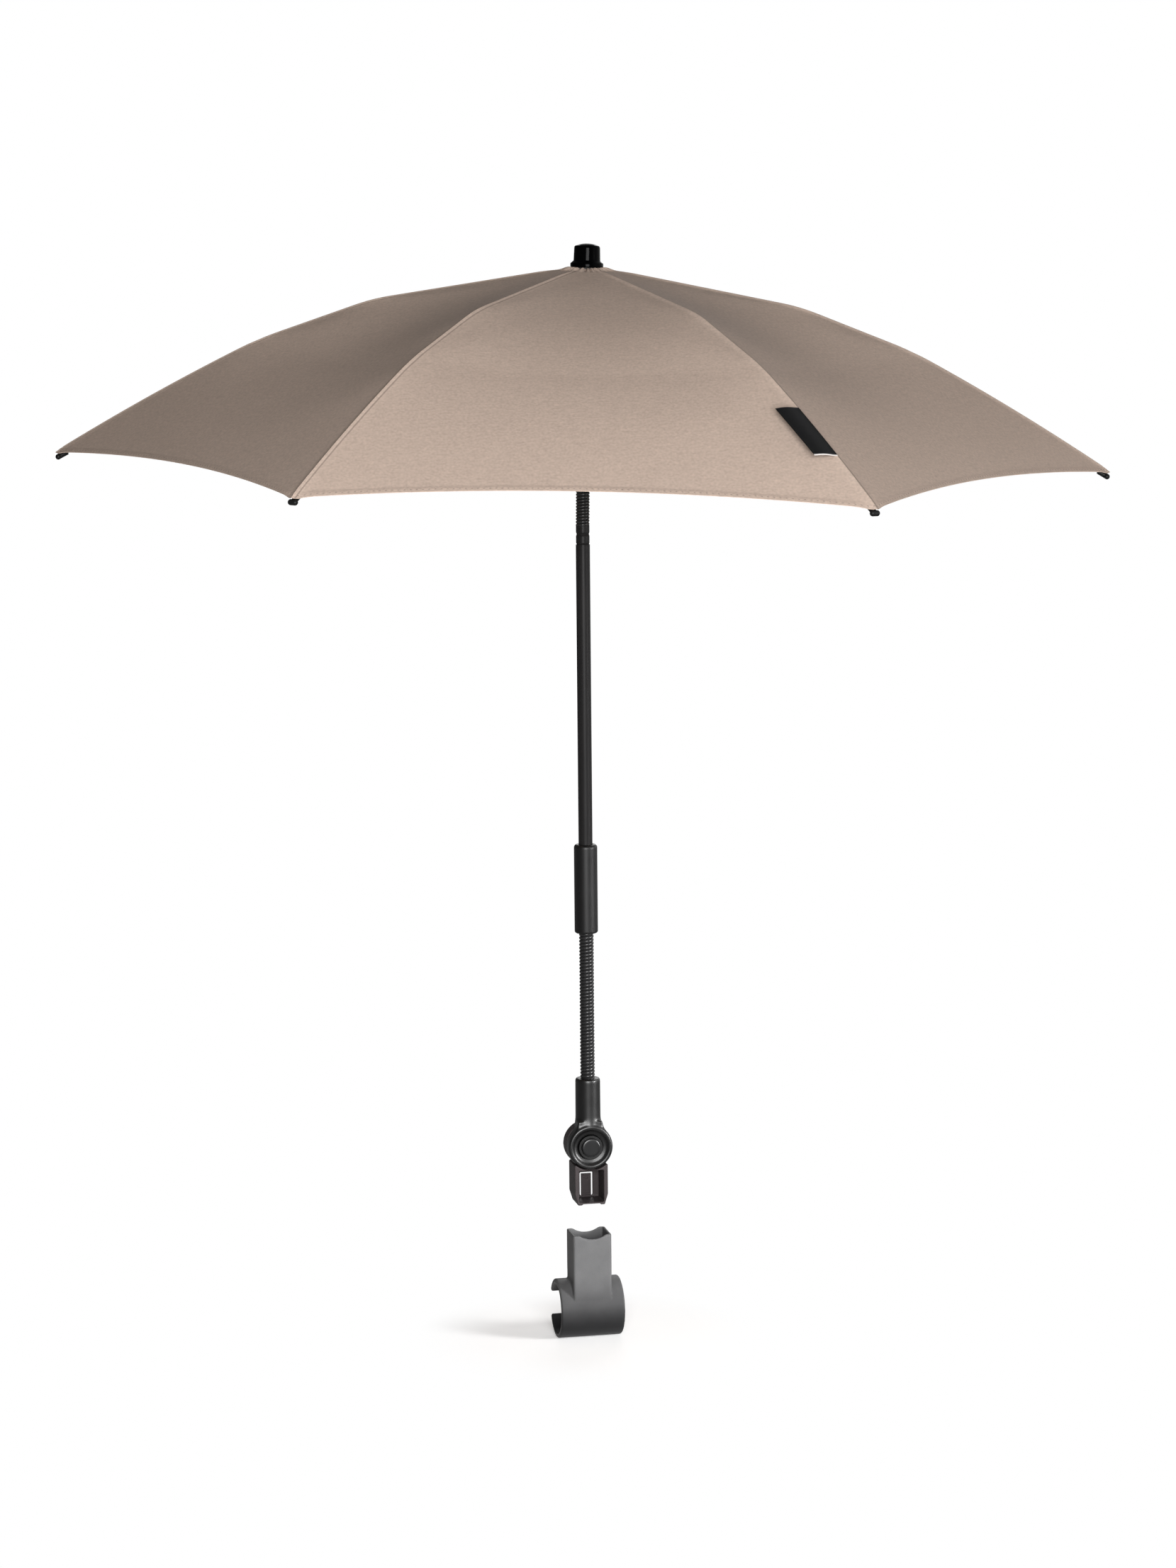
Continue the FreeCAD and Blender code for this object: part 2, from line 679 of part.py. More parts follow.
def make_knuckle():
    half, rim = HALF_DEPTH, d.dish_radius
    disc = turned("knuckle_disc", [
        (0, HALF_GAP), (d.disc_radius, HALF_GAP), (d.disc_radius, half), (0, half),
    ])
    round_edges(disc, d.disc_rim_round, ring_edge(d.disc_radius, half))
    place(disc, (0, 0, 0), TO_FRONT)
    dish = turned("knuckle_dish", [
        (0, half - d.dish_depth), (rim - d.dish_depth, half - d.dish_depth),
        (rim + OVERSHOOT, half + OVERSHOOT), (0, half + OVERSHOOT),
    ])
    place(dish, (0, 0, 0), TO_FRONT)
    neck = turned("knuckle_neck", [
        (0, 0), (d.neck_base_radius, 0), (d.neck_base_radius, d.neck_flare_low),
        (d.neck_waist_radius, d.neck_flare_high), (d.neck_top_radius, d.neck_rise), (0, d.neck_rise),
    ])
    round_edges(neck, d.neck_edge_round, ring_edge(d.neck_top_radius, d.neck_rise))
    cheek_room = cylinder("knuckle_cheek_room", d.disc_radius + d.disc_clearance, d.plug_depth,
                          (0, -HALF_GAP, 0), TO_BACK)
    gussets = []
    reach = float(d.neck_waist_radius + d.gusset_radius)
    rise = math.sqrt(float(d.disc_radius + d.gusset_radius) ** 2 - reach ** 2)
    touch = reach * float(d.disc_radius) / float(d.disc_radius + d.gusset_radius)
    for side, (left, right) in ((-1, (-touch, 0)), (1, (0, touch))):
        web = box(f"gusset_web_{len(gussets) + 1}", (left, -d.gusset_depth, 0), (right, -HALF_GAP, rise))
        hollow = cylinder(f"gusset_hollow_{len(gussets) + 1}", d.gusset_radius, d.plug_depth,
                          (side * reach, HALF_DEPTH, rise), TO_FRONT)
        gussets.append(cut(f"gusset_{len(gussets) + 1}", web, [hollow]))
    well = cylinder("button_well", d.bezel_radius + d.press_fit, d.well_depth + OVERSHOOT,
                    (0, -WELL_FLOOR, 0), TO_FRONT)
    bolt_hole = cylinder("knuckle_bolt_hole", d.bolt_radius + d.bolt_fit, d.plug_depth * 2,
                         (0, -d.plug_depth, 0), TO_BACK)
    arm_hole = cylinder("knuckle_arm_hole", d.spigot_radius + d.press_fit, d.lower_neck_spigot + OVERSHOOT,
                        (0, 0, d.neck_rise - d.lower_neck_spigot))
    upper = cut("knuckle_upper", neck, [cheek_room])
    knuckle = cut("knuckle", fuse("knuckle_solid", [disc, upper, *gussets]),
                  [dish, well, bolt_hole, arm_hole])
    keep(knuckle, PIVOT)


def make_button():
    front = HALF_DEPTH - d.bezel_sunk
    back = front - d.bezel_thickness
    bezel = turned("button_bezel", [
        (d.button_radius + d.button_fit, back), (d.bezel_radius, back),
        (d.bezel_radius, front), (d.button_radius + d.button_fit, front),
    ])
    keep(bezel, PIVOT, TO_FRONT)
    top = HALF_DEPTH + d.button_proud
    collar_top = back - d.button_stop_gap
    collar_foot = collar_top - d.button_collar
    inner = d.button_radius - d.button_skirt
    button = turned("tilt_button", [
        (0, top - d.button_roof), (inner, top - d.button_roof), (inner, collar_foot),
        (d.button_collar_radius, collar_foot), (d.button_collar_radius, collar_top),
        (d.button_radius, collar_top), (d.button_radius, top), (0, top),
    ])
    round_edges(button, d.button_edge_round, ring_edge(d.button_radius, top))
    keep(button, PIVOT, TO_FRONT)
    foot = WELL_FLOOR + d.spring_seat_gap
    head = top - d.button_roof - d.spring_seat_gap
    inside, outside = d.spring_radius - d.spring_wire / 2, d.spring_radius + d.spring_wire / 2
    spring = turned("button_spring", [(inside, foot), (outside, foot), (outside, head), (inside, head)])
    keep(spring, PIVOT, TO_FRONT)


def make_pivot():
    head_foot = WELL_FLOOR + d.bolt_head_gap
    bolt_tail = d.nut_recess - HALF_DEPTH
    bolt = turned("pivot_bolt", [
        (0, bolt_tail), (d.bolt_radius, bolt_tail), (d.bolt_radius, head_foot),
        (d.bolt_head_radius, head_foot), (d.bolt_head_radius, head_foot + d.bolt_head_height),
        (0, head_foot + d.bolt_head_height),
    ])
    keep(bolt, PIVOT, TO_FRONT)
    nut_front = HALF_DEPTH - d.nut_thickness - d.nut_recess
    nut = cut("pivot_nut", prism("nut_blank", hexagon_points(d.nut_flats), d.nut_thickness, nut_front),
              [cylinder("nut_thread", d.bolt_radius + d.press_fit, d.plug_depth, (0, 0, 0), TO_BACK)])
    keep(nut, PIVOT)
    ring_front = -HALF_GAP - d.index_recess
    ring_back = ring_front - d.index_thickness
    blank = turned("index_blank", [
        (d.index_bore, ring_back), (d.index_radius, ring_back),
        (d.index_radius, ring_front), (d.index_bore, ring_front),
    ])
    place(blank, (0, 0, 0), TO_FRONT)
    teeth = []
    count = int(float(d.index_teeth))
    for step in range(count):
        groove = box(f"index_groove_{step + 1}", (0, 0, 0),
                     (d.index_radius * 2, d.index_tooth_depth + OVERSHOOT, d.index_tooth_width))
        turn = Rotation(Vector(0, 1, 0), FULL_TURN * step / count)
        shift = turn.multVec(Vector(0, 0, -float(d.index_tooth_width) / 2))
        place(groove, (shift.x, -ring_front - OVERSHOOT, shift.z), turn)
        teeth.append(groove)
    keep(cut("index_ring", blank, teeth), PIVOT)


# Flexible arms

# Where one turn's full radius starts and ends, and where the bore's sections lie, as shares of a length
LAND_START, LAND_END = 0.2, 0.8
CORE_SHARES = (0, 0.25, 0.375, 0.5, 0.625, 0.75, 1)


def arm_path(length, straight, bend):
    """The arm's middle line: straight ends and one even bend, as a function of distance."""
    half = length / 2
    if bend == 0:
        return length, lambda run: (Vector(0, 0, run - half), 0.0)
    tangent = half - straight
    radius = tangent / math.tan(math.radians(bend) / 2)
    arc = radius * math.radians(bend)
    turn = Rotation(Vector(0, 1, 0), bend)

    def spot(run):
        if run <= straight:
            return Vector(0, 0, run - half), 0.0
        if run >= straight + arc:
            return turn.multVec(Vector(0, 0, run - straight - arc + tangent)), bend
        angle = (run - straight) / radius
        return Vector(radius * (1 - math.cos(angle)), 0, radius * math.sin(angle) - tangent), math.degrees(angle)

    return 2 * straight + arc, spot


def ribbed_arm(length, radius, pitch, groove, bore, bend=0.0):
    """A close-wound arm: four circles to each rib, lofted straight between, with a bore."""
    run, spot = arm_path(float(length), 2 * float(radius), float(bend))
    count = int(run / float(pitch))
    step = run / count
    valley = float(radius) - float(groove)

    def ring(distance, size):
        centre, angle = spot(distance)
        wire = Part.Wire(Part.makeCircle(size))
        wire.Placement = Placement(centre, Rotation(Vector(0, 1, 0), angle))
        return wire

    rings = [ring(0, valley)]
    for index in range(count):
        start = index * step
        rings += [ring(start + step * share, size) for share, size in
                  ((LAND_START, float(radius)), (LAND_END, float(radius)), (1.0, valley))]
    skin = Part.makeLoft(rings, True, True)
    core = Part.makeLoft([ring(run * share, float(bore)) for share in CORE_SHARES], True, True)
    return skin.cut(core)


def make_lower_arm():
    half = float(d.lower_neck_length) / 2
    insert = float(d.lower_neck_spigot)
    arm = ribbed_arm(d.lower_neck_length, d.lower_neck_radius, d.lower_neck_pitch,
                     d.lower_neck_groove, d.lower_neck_bore)
    for foot in (-half - insert, half):
        end = Part.makeCylinder(float(d.spigot_radius), insert, Vector(0, 0, foot))
        hole = Part.makeCylinder(float(d.lower_neck_bore), insert, Vector(0, 0, foot))
        arm = arm.fuse(end.cut(hole))
    keep(solid("lower_gooseneck", arm), (0, SHAFT_Y, NECK_TOP_Z + d.lower_neck_length / 2))


def make_upper_arm():
    arm = ribbed_arm(d.upper_neck_length, d.upper_neck_radius, d.upper_neck_pitch,
                     d.upper_neck_groove, d.upper_neck_bore, d.canopy_lean)
    keep(solid("upper_gooseneck", arm), BEND, YAW)


# Shaft

def make_sleeve():
    foot, top = d.sleeve_foot_chamfer, d.sleeve_length
    bore = d.shaft_radius + d.press_fit
    arm_bore = d.spigot_radius + d.press_fit
    shelf = d.sleeve_length - d.shaft_insert
    arm_shelf = d.lower_neck_spigot
    sleeve = turned("coupling_sleeve", [
        (arm_bore, 0), (d.sleeve_radius - foot, 0), (d.sleeve_radius, foot), (d.sleeve_radius, top),
        (bore, top), (bore, shelf), (0, shelf), (0, arm_shelf), (arm_bore, arm_shelf),
    ])
    round_edges(sleeve, d.sleeve_top_round, ring_edge(d.sleeve_radius, top))
    keep(sleeve, (0, SHAFT_Y, SLEEVE_Z))


def make_shaft():
    length = d.shaft_insert + d.shaft_show
    inner = d.shaft_radius - d.shaft_wall
    tube = turned("shaft_tube", [
        (inner, 0), (d.shaft_radius, 0), (d.shaft_radius, length), (inner, length),
    ])
    keep(tube, (0, SHAFT_Y, SHAFT_FOOT_Z))
    top = d.ferrule_length
    spigot = inner - d.press_fit
    bulge = d.ferrule_bulge_run
    middle = top / 2
    bore = d.upper_neck_bore
    ferrule = turned("crimp_ferrule", [
        (bore, -d.ferrule_insert), (spigot, -d.ferrule_insert), (spigot, 0), (d.ferrule_waist, 0),
        (d.ferrule_radius, bulge), (d.ferrule_radius, middle - bulge), (d.ferrule_waist, middle),
        (d.ferrule_radius, middle + bulge), (d.ferrule_radius, top - bulge),
        (d.ferrule_waist, top), (bore, top),
    ])
    keep(ferrule, (0, SHAFT_Y, FERRULE_Z))


# Upper tube, crown and finial, drawn about the middle of the upper flexible arm

def make_upper_tube():
    inner = d.upper_tube_radius - d.upper_tube_wall
    neck_top = d.upper_neck_length / 2
    socket = turned("tube_socket", [
        (0, neck_top - d.collar_spigot), (d.upper_neck_bore - d.press_fit, neck_top - d.collar_spigot),
        (d.upper_neck_bore - d.press_fit, neck_top), (d.collar_radius, neck_top),
        (d.collar_radius, TUBE_FOOT_Z), (inner - d.press_fit, TUBE_FOOT_Z),
        (inner - d.press_fit, TUBE_FOOT_Z + d.collar_spigot), (0, TUBE_FOOT_Z + d.collar_spigot),
    ])
    keep(socket, BEND, LEAN)
    tube_top = d.apex_rise + d.upper_tube_rise
    blank = turned("upper_tube_blank", [
        (inner, TUBE_FOOT_Z), (d.upper_tube_radius, TUBE_FOOT_Z),
        (d.upper_tube_radius, tube_top), (inner, tube_top),
    ])
    slot_y = d.catch_width / 2 + d.catch_slot_gap
    slot = box("catch_slot", (0, -slot_y, CATCH_TOP_Z - d.catch_nose_height * 2),
               (d.upper_tube_radius * 2, slot_y, CATCH_TOP_Z + d.catch_slot_rise))
    pin_hole = cylinder("catch_pin_hole", d.catch_pin_radius + d.press_fit, d.upper_tube_radius * 2,
                        (CATCH_PIN_X, d.upper_tube_radius, CATCH_PIN_Z), TO_FRONT)
    keep(cut("upper_tube", blank, [slot, pin_hole]), BEND, CATCH_TURN)


def make_crown():
    low = HUB_TOP_Z - d.hub_height
    bore = d.upper_tube_radius + d.press_fit
    blank = turned("hub_blank", [
        (bore, low), (d.hub_radius, low), (d.hub_radius, HUB_TOP_Z - d.hub_chamfer),
        (d.hub_radius - d.hub_chamfer_reach, HUB_TOP_Z), (bore, HUB_TOP_Z),
    ])
    slot_half = d.rib_width / 2 + d.hub_slot_gap
    slots = []
    for index in range(RIB_COUNT):
        turn = Rotation(Vector(0, 0, 1), RIB_STEP * index)
        slot = box(f"hub_slot_{index + 1}", (0, 0, 0), (d.hub_radius, slot_half * 2, d.hub_height * 2))
        shift = turn.multVec(Vector(float(d.hub_slot_floor), -float(slot_half), 0))
        place(slot, (shift.x, shift.y, low - d.hub_height / 2), turn)
        slots.append(slot)
    groove = doc.addObject("Part::Torus", "hub_wire_groove")
    bind(groove, "Radius1", d.crown_wire_reach)
    bind(groove, "Radius2", d.crown_wire_radius + d.press_fit)
    place(groove, (0, 0, rib.hinge.z))
    keep(cut("crown_hub", blank, [*slots, groove]), BEND, LEAN)
    wire = Part.makeTorus(float(d.crown_wire_reach), float(d.crown_wire_radius), Vector(0, 0, rib.hinge.z))
    keep(solid("crown_wire", wire), BEND, LEAN)


def make_finial():
    foot = d.apex_rise + d.washer_thickness
    bore = d.upper_tube_radius + d.press_fit
    washer = turned("canopy_washer", [
        (bore, d.apex_rise), (d.washer_radius, d.apex_rise), (d.washer_radius, foot), (bore, foot),
    ])
    keep(washer, BEND, LEAN)
    top = d.apex_rise + d.finial_height
    roof = d.apex_rise + d.upper_tube_rise
    finial = turned("finial", [
        (bore, foot), (d.finial_flange_radius, foot),
        (d.finial_flange_radius, d.apex_rise + d.finial_flange_edge),
        (d.finial_foot_radius, d.apex_rise + d.finial_flange_height),
        *[(d.finial_top_radius * share, top - d.finial_dome_rise * share ** 2) for share in DOME_SHARES],
        (0, top), (0, roof), (bore, roof),
    ])
    round_edges(finial, d.finial_dome_round, ring_edge(d.finial_top_radius, top - d.finial_dome_rise))
    keep(finial, BEND, LEAN)


# Fabric

# The panel's grid lines: as shares of its width, and between two bends of a rib
CHORD_SHARES = [step / 6 for step in range(7)]
SPAN_SHARES = (1 / 3, 2 / 3)


def soft_ramp(distance, softness):
    """A hinge in a straight line: nought before it, the distance after it, rounded within a softness."""
    if abs(distance) >= softness:
        return max(distance, 0)
    return (distance + softness) ** 2 / (4 * softness)


def fabric_height(reach, middle):
    """The fabric's height at a rib's reach; middle is 0 over a rib and 1 half-way between two."""
    soft = float(d.rib_softness) + float(d.panel_softness - d.rib_softness) * middle
    slopes = [-way.z / way.x for way in rib.along]
    height = rib.ridge[0].z - slopes[0] * soft_ramp(reach - rib.ridge[0].x, float(d.apex_softness))
    for bend in (1, 2):
        height -= (slopes[bend] - slopes[bend - 1]) * soft_ramp(reach - rib.ridge[bend].x, soft)
    share = (reach - rib.ridge[0].x) / (rib.ridge[-1].x - rib.ridge[0].x)
    return height - float(d.panel_sag) * middle * math.sin(math.pi * min(max(share, 0), 1))


def panel_reaches(hole):
    """Where the panel's grid crosses a rib: close at the bends, wide between them."""
    spreads = [float(size) for size in (d.apex_softness, d.bend_spread, d.bend_spread)]
    marks = [hole, rib.ridge[-1].x]
    for point, spread in zip(rib.ridge, spreads):
        marks += [point.x - spread, point.x, point.x + spread]
    for inner, outer in zip(rib.ridge, rib.ridge[1:]):
        marks += [inner.x + (outer.x - inner.x) * share for share in SPAN_SHARES]
    return sorted(marks)


def quadratic_surface(grid):
    """A spline surface of the second degree over a grid of control points."""
    mults, knots = [], []
    for count in (len(grid), len(grid[0])):
        spans = count - 2
        mults.append([3, *[1] * (spans - 1), 3])
        knots.append(list(range(spans + 1)))
    surface = Part.BSplineSurface()
    surface.buildFromPolesMultsKnots(grid, *mults, *knots, False, False, 2, 2)
    return surface


def panel_face():
    """One panel's upper face, from the first rib to the second, with its hem arched inwards."""
    hole = float(d.upper_tube_radius + d.fabric_hole_gap) / math.cos(math.pi / RIB_COUNT)
    tip, step = float(d.tip_reach), math.radians(RIB_STEP)
    arch = float(d.hem_arch) / math.cos(step / 2)
    grid = []
    for mark in panel_reaches(hole):
        line = []
        for chord in CHORD_SHARES:
            middle = 4 * chord * (1 - chord)
            reach = hole + (mark - hole) * (tip - arch * middle - hole) / (tip - hole)
            spot = Vector(1 - chord + chord * math.cos(step), chord * math.sin(step), 0) * reach
            line.append(Vector(spot.x, spot.y, fabric_height(reach, middle)))
        grid.append(line)
    return quadratic_surface(grid).toShape()


def rim_edges(face):
    """The edges of a panel at the apex and at the hem, which run from rib to rib."""
    middle = math.radians(RIB_STEP / 2)
    out = Vector(math.cos(middle), math.sin(middle), 0)
    ordered = sorted(face.Edges, key=lambda edge: edge.CenterOfMass.dot(out))
    return ordered[0], ordered[-1]


def make_canopy():
    """Six sagging panels sewn into one thin shell."""
    upper = panel_face()
    lower = upper.copy()
    lower.translate(Vector(0, 0, -float(d.fabric_thickness)))
    rims = [Part.makeRuledSurface(*pair) for pair in zip(rim_edges(upper), rim_edges(lower))]
    faces = []
    for index in range(RIB_COUNT):
        for face in (upper, lower, *rims):
            turned_face = face.copy()
            turned_face.rotate(Vector(), Vector(0, 0, 1), RIB_STEP * index)
            faces.append(turned_face)
    shell = Part.makeShell(faces)
    shell.sewShape()
    fabric = Part.makeSolid(shell)
    if fabric.Volume < 0:
        fabric.reverse()
    keep(solid("canopy", fabric), BEND, LEAN)


def make_tag():
    """The tag lies along one seam, on the panel before it."""
    along = rib.along[-1]
    start = rib.ridge[-1] - along * float(d.tag_tip_gap)
    other = Rotation(Vector(0, 0, 1), -RIB_STEP).multVec(start)
    into = other - start
    across = (into - along * into.dot(along)).normalize()
    up = across.cross(along)
    corner = start + up * float(d.tag_lift) + across * float(d.tag_seam_gap)
    tag = doc.addObject("Part::Box", "label_tag")
    bind(tag, "Length", d.tag_width)
    bind(tag, "Width", d.tag_length)
    bind(tag, "Height", d.tag_thickness)
    frame = FreeCAD.Matrix(across.x, along.x, up.x, corner.x, across.y, along.y, up.y, corner.y,
                           across.z, along.z, up.z, corner.z, 0, 0, 0, 1)
    seat = Placement(Vector(*(float(as_size(size)) for size in BEND)), rib_turn(int(float(d.tag_rib))))
    tag.Placement = seat * Placement(frame)
    nodes.append(tag)


# Ribs and stretchers, drawn in the first rib's plane and turned to each place

def upright_face(points):
    """A flat face in the upright plane through a rib."""
    return Part.Face(Part.makePolygon([*points, points[0]]))


def slab(points, width):
    """A face in the rib's plane, thickened evenly to both sides."""
    face = upright_face(points)
    face.translate(Vector(0, -width / 2, 0))
    return face.extrude(Vector(0, width, 0))


def cross_pin(spot, radius, width):
    """A cylinder across the rib's plane, centred on it."""
    return Part.makeCylinder(radius, width, spot - Vector(0, width / 2, 0), Vector(0, 1, 0))


def rib_channel():
    """A channel open downwards, bent once, with a solid eye at the crown."""
    depth, half = float(d.rib_depth), float(d.rib_height) / 2
    width, wall = float(d.rib_width), float(d.rib_wall)
    upper, lower, roof = depth - half, depth + half, depth - half + wall
    eye = rib.hinge
    end = rib.ridge[2]
    top_line = [eye - rib.under[0] * half, rib.corner(1, upper), end + rib.under[1] * upper]
    low_line = [eye + rib.under[0] * half, rib.corner(1, lower), end + rib.under[1] * lower]
    body = slab([*top_line, *reversed(low_line)], width).fuse(cross_pin(eye, half, width))
    start = eye + rib.along[0] * float(d.rib_solid_root)
    past = rib.along[1] * OVERSHOOT
    roof_line = [start - rib.under[0] * (half - wall), rib.corner(1, roof), end + rib.under[1] * roof + past]
    open_depth = lower + OVERSHOOT
    open_line = [start + rib.under[0] * (half + OVERSHOOT), rib.corner(1, open_depth),
                 end + rib.under[1] * open_depth + past]
    hollow = slab([*roof_line, *reversed(open_line)], width - 2 * wall)
    wire_hole = cross_pin(eye, float(d.crown_wire_radius + d.rib_eye_gap), 2 * width)
    rivet_hole = cross_pin(rib.rivet, float(d.rivet_radius + d.press_fit), 2 * width)
    return body.cut(hollow).cut(wire_hole).cut(rivet_hole).removeSplitter()


def rod_points():
    """The rod's middle line: from inside the channel, round the second bend, to the tip."""
    depth = float(d.rib_depth) - float(d.rib_height) / 2 + float(d.rib_wall)
    depth += float(d.rod_radius) + float(d.rod_web_gap)
    elbow = rib.ridge[2] + rib.under[1] * depth
    tip = rib.ridge[3] + rib.under[2] * float(d.rod_tip_depth)
    return elbow - rib.along[1] * float(d.rod_insert), elbow, tip


def rib_rod():
    """A round rod with one bend, crimped into the channel's end and stopping in the tip."""
    start, elbow, tip = rod_points()
    radius = float(d.rod_radius)
    way = (tip - elbow).normalize()
    stop = tip - way * (float(d.tip_length - d.tip_proud) - float(d.tip_hole_depth))
    inside = Part.makeCylinder(radius, (elbow - start).Length, start, elbow - start)
    outside = Part.makeCylinder(radius, (stop - elbow).Length, elbow, stop - elbow)
    return inside.fuse([outside, Part.makeSphere(radius, elbow)]).removeSplitter()


def rib_tip():
    """A rounded nub with a cross bar, pushed on to the rod's end."""
    elbow, tip = rod_points()[1:]
    way = (tip - elbow).normalize()
    radius = float(d.tip_radius)
    front = tip + way * (float(d.tip_proud) - radius)
    rear = tip - way * (float(d.tip_length - d.tip_proud))
    bar_half = float(d.tip_width) / 2 - radius
    barrel = Part.makeCylinder(radius, (front - rear).Length, rear, way)
    bar = Part.makeCylinder(radius, 2 * bar_half, front - Vector(0, bar_half, 0), Vector(0, 1, 0))
    ends = [Part.makeSphere(radius, front + Vector(0, side * bar_half, 0)) for side in (-1, 1)]
    hole = Part.makeCylinder(float(d.rod_radius + d.press_fit), float(d.tip_hole_depth), rear, way)
    return barrel.fuse([bar, Part.makeSphere(radius, front), *ends]).removeSplitter().cut(hole)


def rib_rivet():
    """A rivet through the channel's walls, which the stretcher turns on."""
    width, head = float(d.rib_width), float(d.rivet_head_height)
    shank = cross_pin(rib.rivet, float(d.rivet_radius), width + 2 * head)
    heads = []
    for side in (-1, 1):
        centre = rib.rivet + Vector(0, side * (width + head) / 2, 0)
        heads.append(cross_pin(centre, float(d.rivet_head_radius), head))
    return shank.fuse(heads).removeSplitter()


def stretcher():
    """A flat strut with a round eye at each end."""
    half, width = float(d.stretcher_half_width), float(d.stretcher_thickness)
    start, end = rib.rivet, rib.runner
    way = (end - start).normalize()
    side = Vector(way.z, 0, -way.x) * half
    blade = slab([start + side, end + side, end - side, start - side], width)
    eyes = [cross_pin(spot, half, width) for spot in (start, end)]
    holes = [cross_pin(spot, float(d.rivet_radius + d.rivet_fit), 2 * width) for spot in (start, end)]
    return blade.fuse(eyes).removeSplitter().cut(holes[0]).cut(holes[1])


def make_ribs():
    shapes = {
        "rib_channel": rib_channel(),
        "rib_rod": rib_rod(),
        "rib_tip": rib_tip(),
        "rib_rivet": rib_rivet(),
        "stretcher": stretcher(),
    }
    for name, shape in shapes.items():
        for index in range(RIB_COUNT):
            keep(solid(f"{name}_{index + 1}", shape.copy()), BEND, rib_turn(index))


# Runner and its catch

RUNNER_Z = as_size(rib.runner.z)
RUNNER_FOOT_Z = RUNNER_Z - d.runner_flange_height / 2
CATCH_TOP_Z = RUNNER_FOOT_Z - d.catch_gap
CATCH_PIN_X = (d.catch_inner + d.catch_outer) / 2
CATCH_PIN_Z = CATCH_TOP_Z - d.catch_length
CATCH_TURN = LEAN * Rotation(Vector(0, 0, 1), -90)


def make_runner():
    flange_top = RUNNER_Z + d.runner_flange_height / 2
    top = RUNNER_Z + d.runner_sleeve_rise
    bore = d.upper_tube_radius + d.runner_fit
    blank = turned("runner_blank", [
        (bore, RUNNER_FOOT_Z), (d.runner_flange_radius, RUNNER_FOOT_Z),
        (d.runner_flange_radius, flange_top), (d.runner_sleeve_radius, flange_top),
        (d.runner_sleeve_radius, top - d.runner_lip_height), (d.runner_lip_radius, top - d.runner_lip_height),
        (d.runner_lip_radius, top), (bore, top),
    ])
    slots = []
    for index in range(RIB_COUNT):
        turn = Rotation(Vector(0, 0, 1), RIB_STEP * index)
        slot = box(f"runner_slot_{index + 1}", (0, 0, 0),
                   (d.runner_flange_radius, d.runner_slot_width, d.runner_flange_height * 2))
        shift = turn.multVec(Vector(float(d.runner_slot_floor), -float(d.runner_slot_width) / 2, 0))
        place(slot, (shift.x, shift.y, RUNNER_Z - d.runner_flange_height), turn)
        slots.append(slot)
    keep(cut("runner", blank, slots), BEND, LEAN)


def make_catch():
    half = d.catch_width / 2
    lever = box("catch_lever", (d.catch_inner, -half, CATCH_PIN_Z), (d.catch_outer, half, CATCH_TOP_Z))
    nose = prism("catch_nose", [
        (d.catch_outer - OVERSHOOT, CATCH_TOP_Z), (d.catch_outer - OVERSHOOT, CATCH_TOP_Z - d.catch_nose_height),
        (d.catch_outer, CATCH_TOP_Z - d.catch_nose_height), (d.catch_nose_reach, CATCH_TOP_Z),
    ], d.catch_width, -half)
    eye = cylinder("catch_eye", d.catch_eye_radius, d.catch_width, (CATCH_PIN_X, half, CATCH_PIN_Z), TO_FRONT)
    hole = cylinder("catch_eye_hole", d.catch_pin_radius + d.catch_pin_fit, d.catch_width * 2,
                    (CATCH_PIN_X, d.catch_width, CATCH_PIN_Z), TO_FRONT)
    keep(cut("runner_catch", fuse("catch_solid", [lever, nose, eye]), [hole]), BEND, CATCH_TURN)
    chord = math.sqrt(float(d.upper_tube_radius) ** 2 - float(CATCH_PIN_X + d.catch_pin_radius) ** 2)
    pin = Part.makeCylinder(float(d.catch_pin_radius), 2 * chord,
                            Vector(float(CATCH_PIN_X), -chord, float(CATCH_PIN_Z)), Vector(0, 1, 0))
    keep(solid("catch_pin", pin), BEND, CATCH_TURN)


def check_and_write():
    """Stops at the first failed object or shape, then writes every sub-part."""
    doc.recompute()
    for item in doc.Objects:
        if {"Invalid", "Error"} & set(item.State):
            raise RuntimeError(f"{item.Label} failed: {item.State}")
    for item in nodes:
        if item.Shape.isNull() or not item.Shape.isValid() or not item.Shape.Solids:
            raise RuntimeError(f"{item.Label} has no valid solid")
    os.makedirs("parts", exist_ok=True)
    for item in nodes:
        item.Shape.exportStep(f"parts/{item.Label}.step")
        print(f"{item.Label}: {len(item.Shape.Solids)} solid, {item.Shape.Volume / 1000:.3f} cm3")
    print(len(nodes), "sub-parts")


make_clip()
make_plug()
make_latch_tongue()
make_knuckle()
make_button()
make_pivot()
make_lower_arm()
make_sleeve()
make_shaft()
make_upper_arm()
make_upper_tube()
make_crown()
make_finial()
make_canopy()
make_tag()
make_ribs()
make_runner()
make_catch()
check_and_write()
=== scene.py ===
"""Dresses the pram parasol.

Adds the woven canopy, the wound arms and spring, the rounded mouldings and the bare tag, gives every
piece its finish and sets the studio. Lengths are in metres and angles in degrees, unless a name says
otherwise.
"""

from __future__ import annotations

import json
import logging
import math
from dataclasses import dataclass
from enum import Enum

import bpy
from mathutils import Matrix, Vector


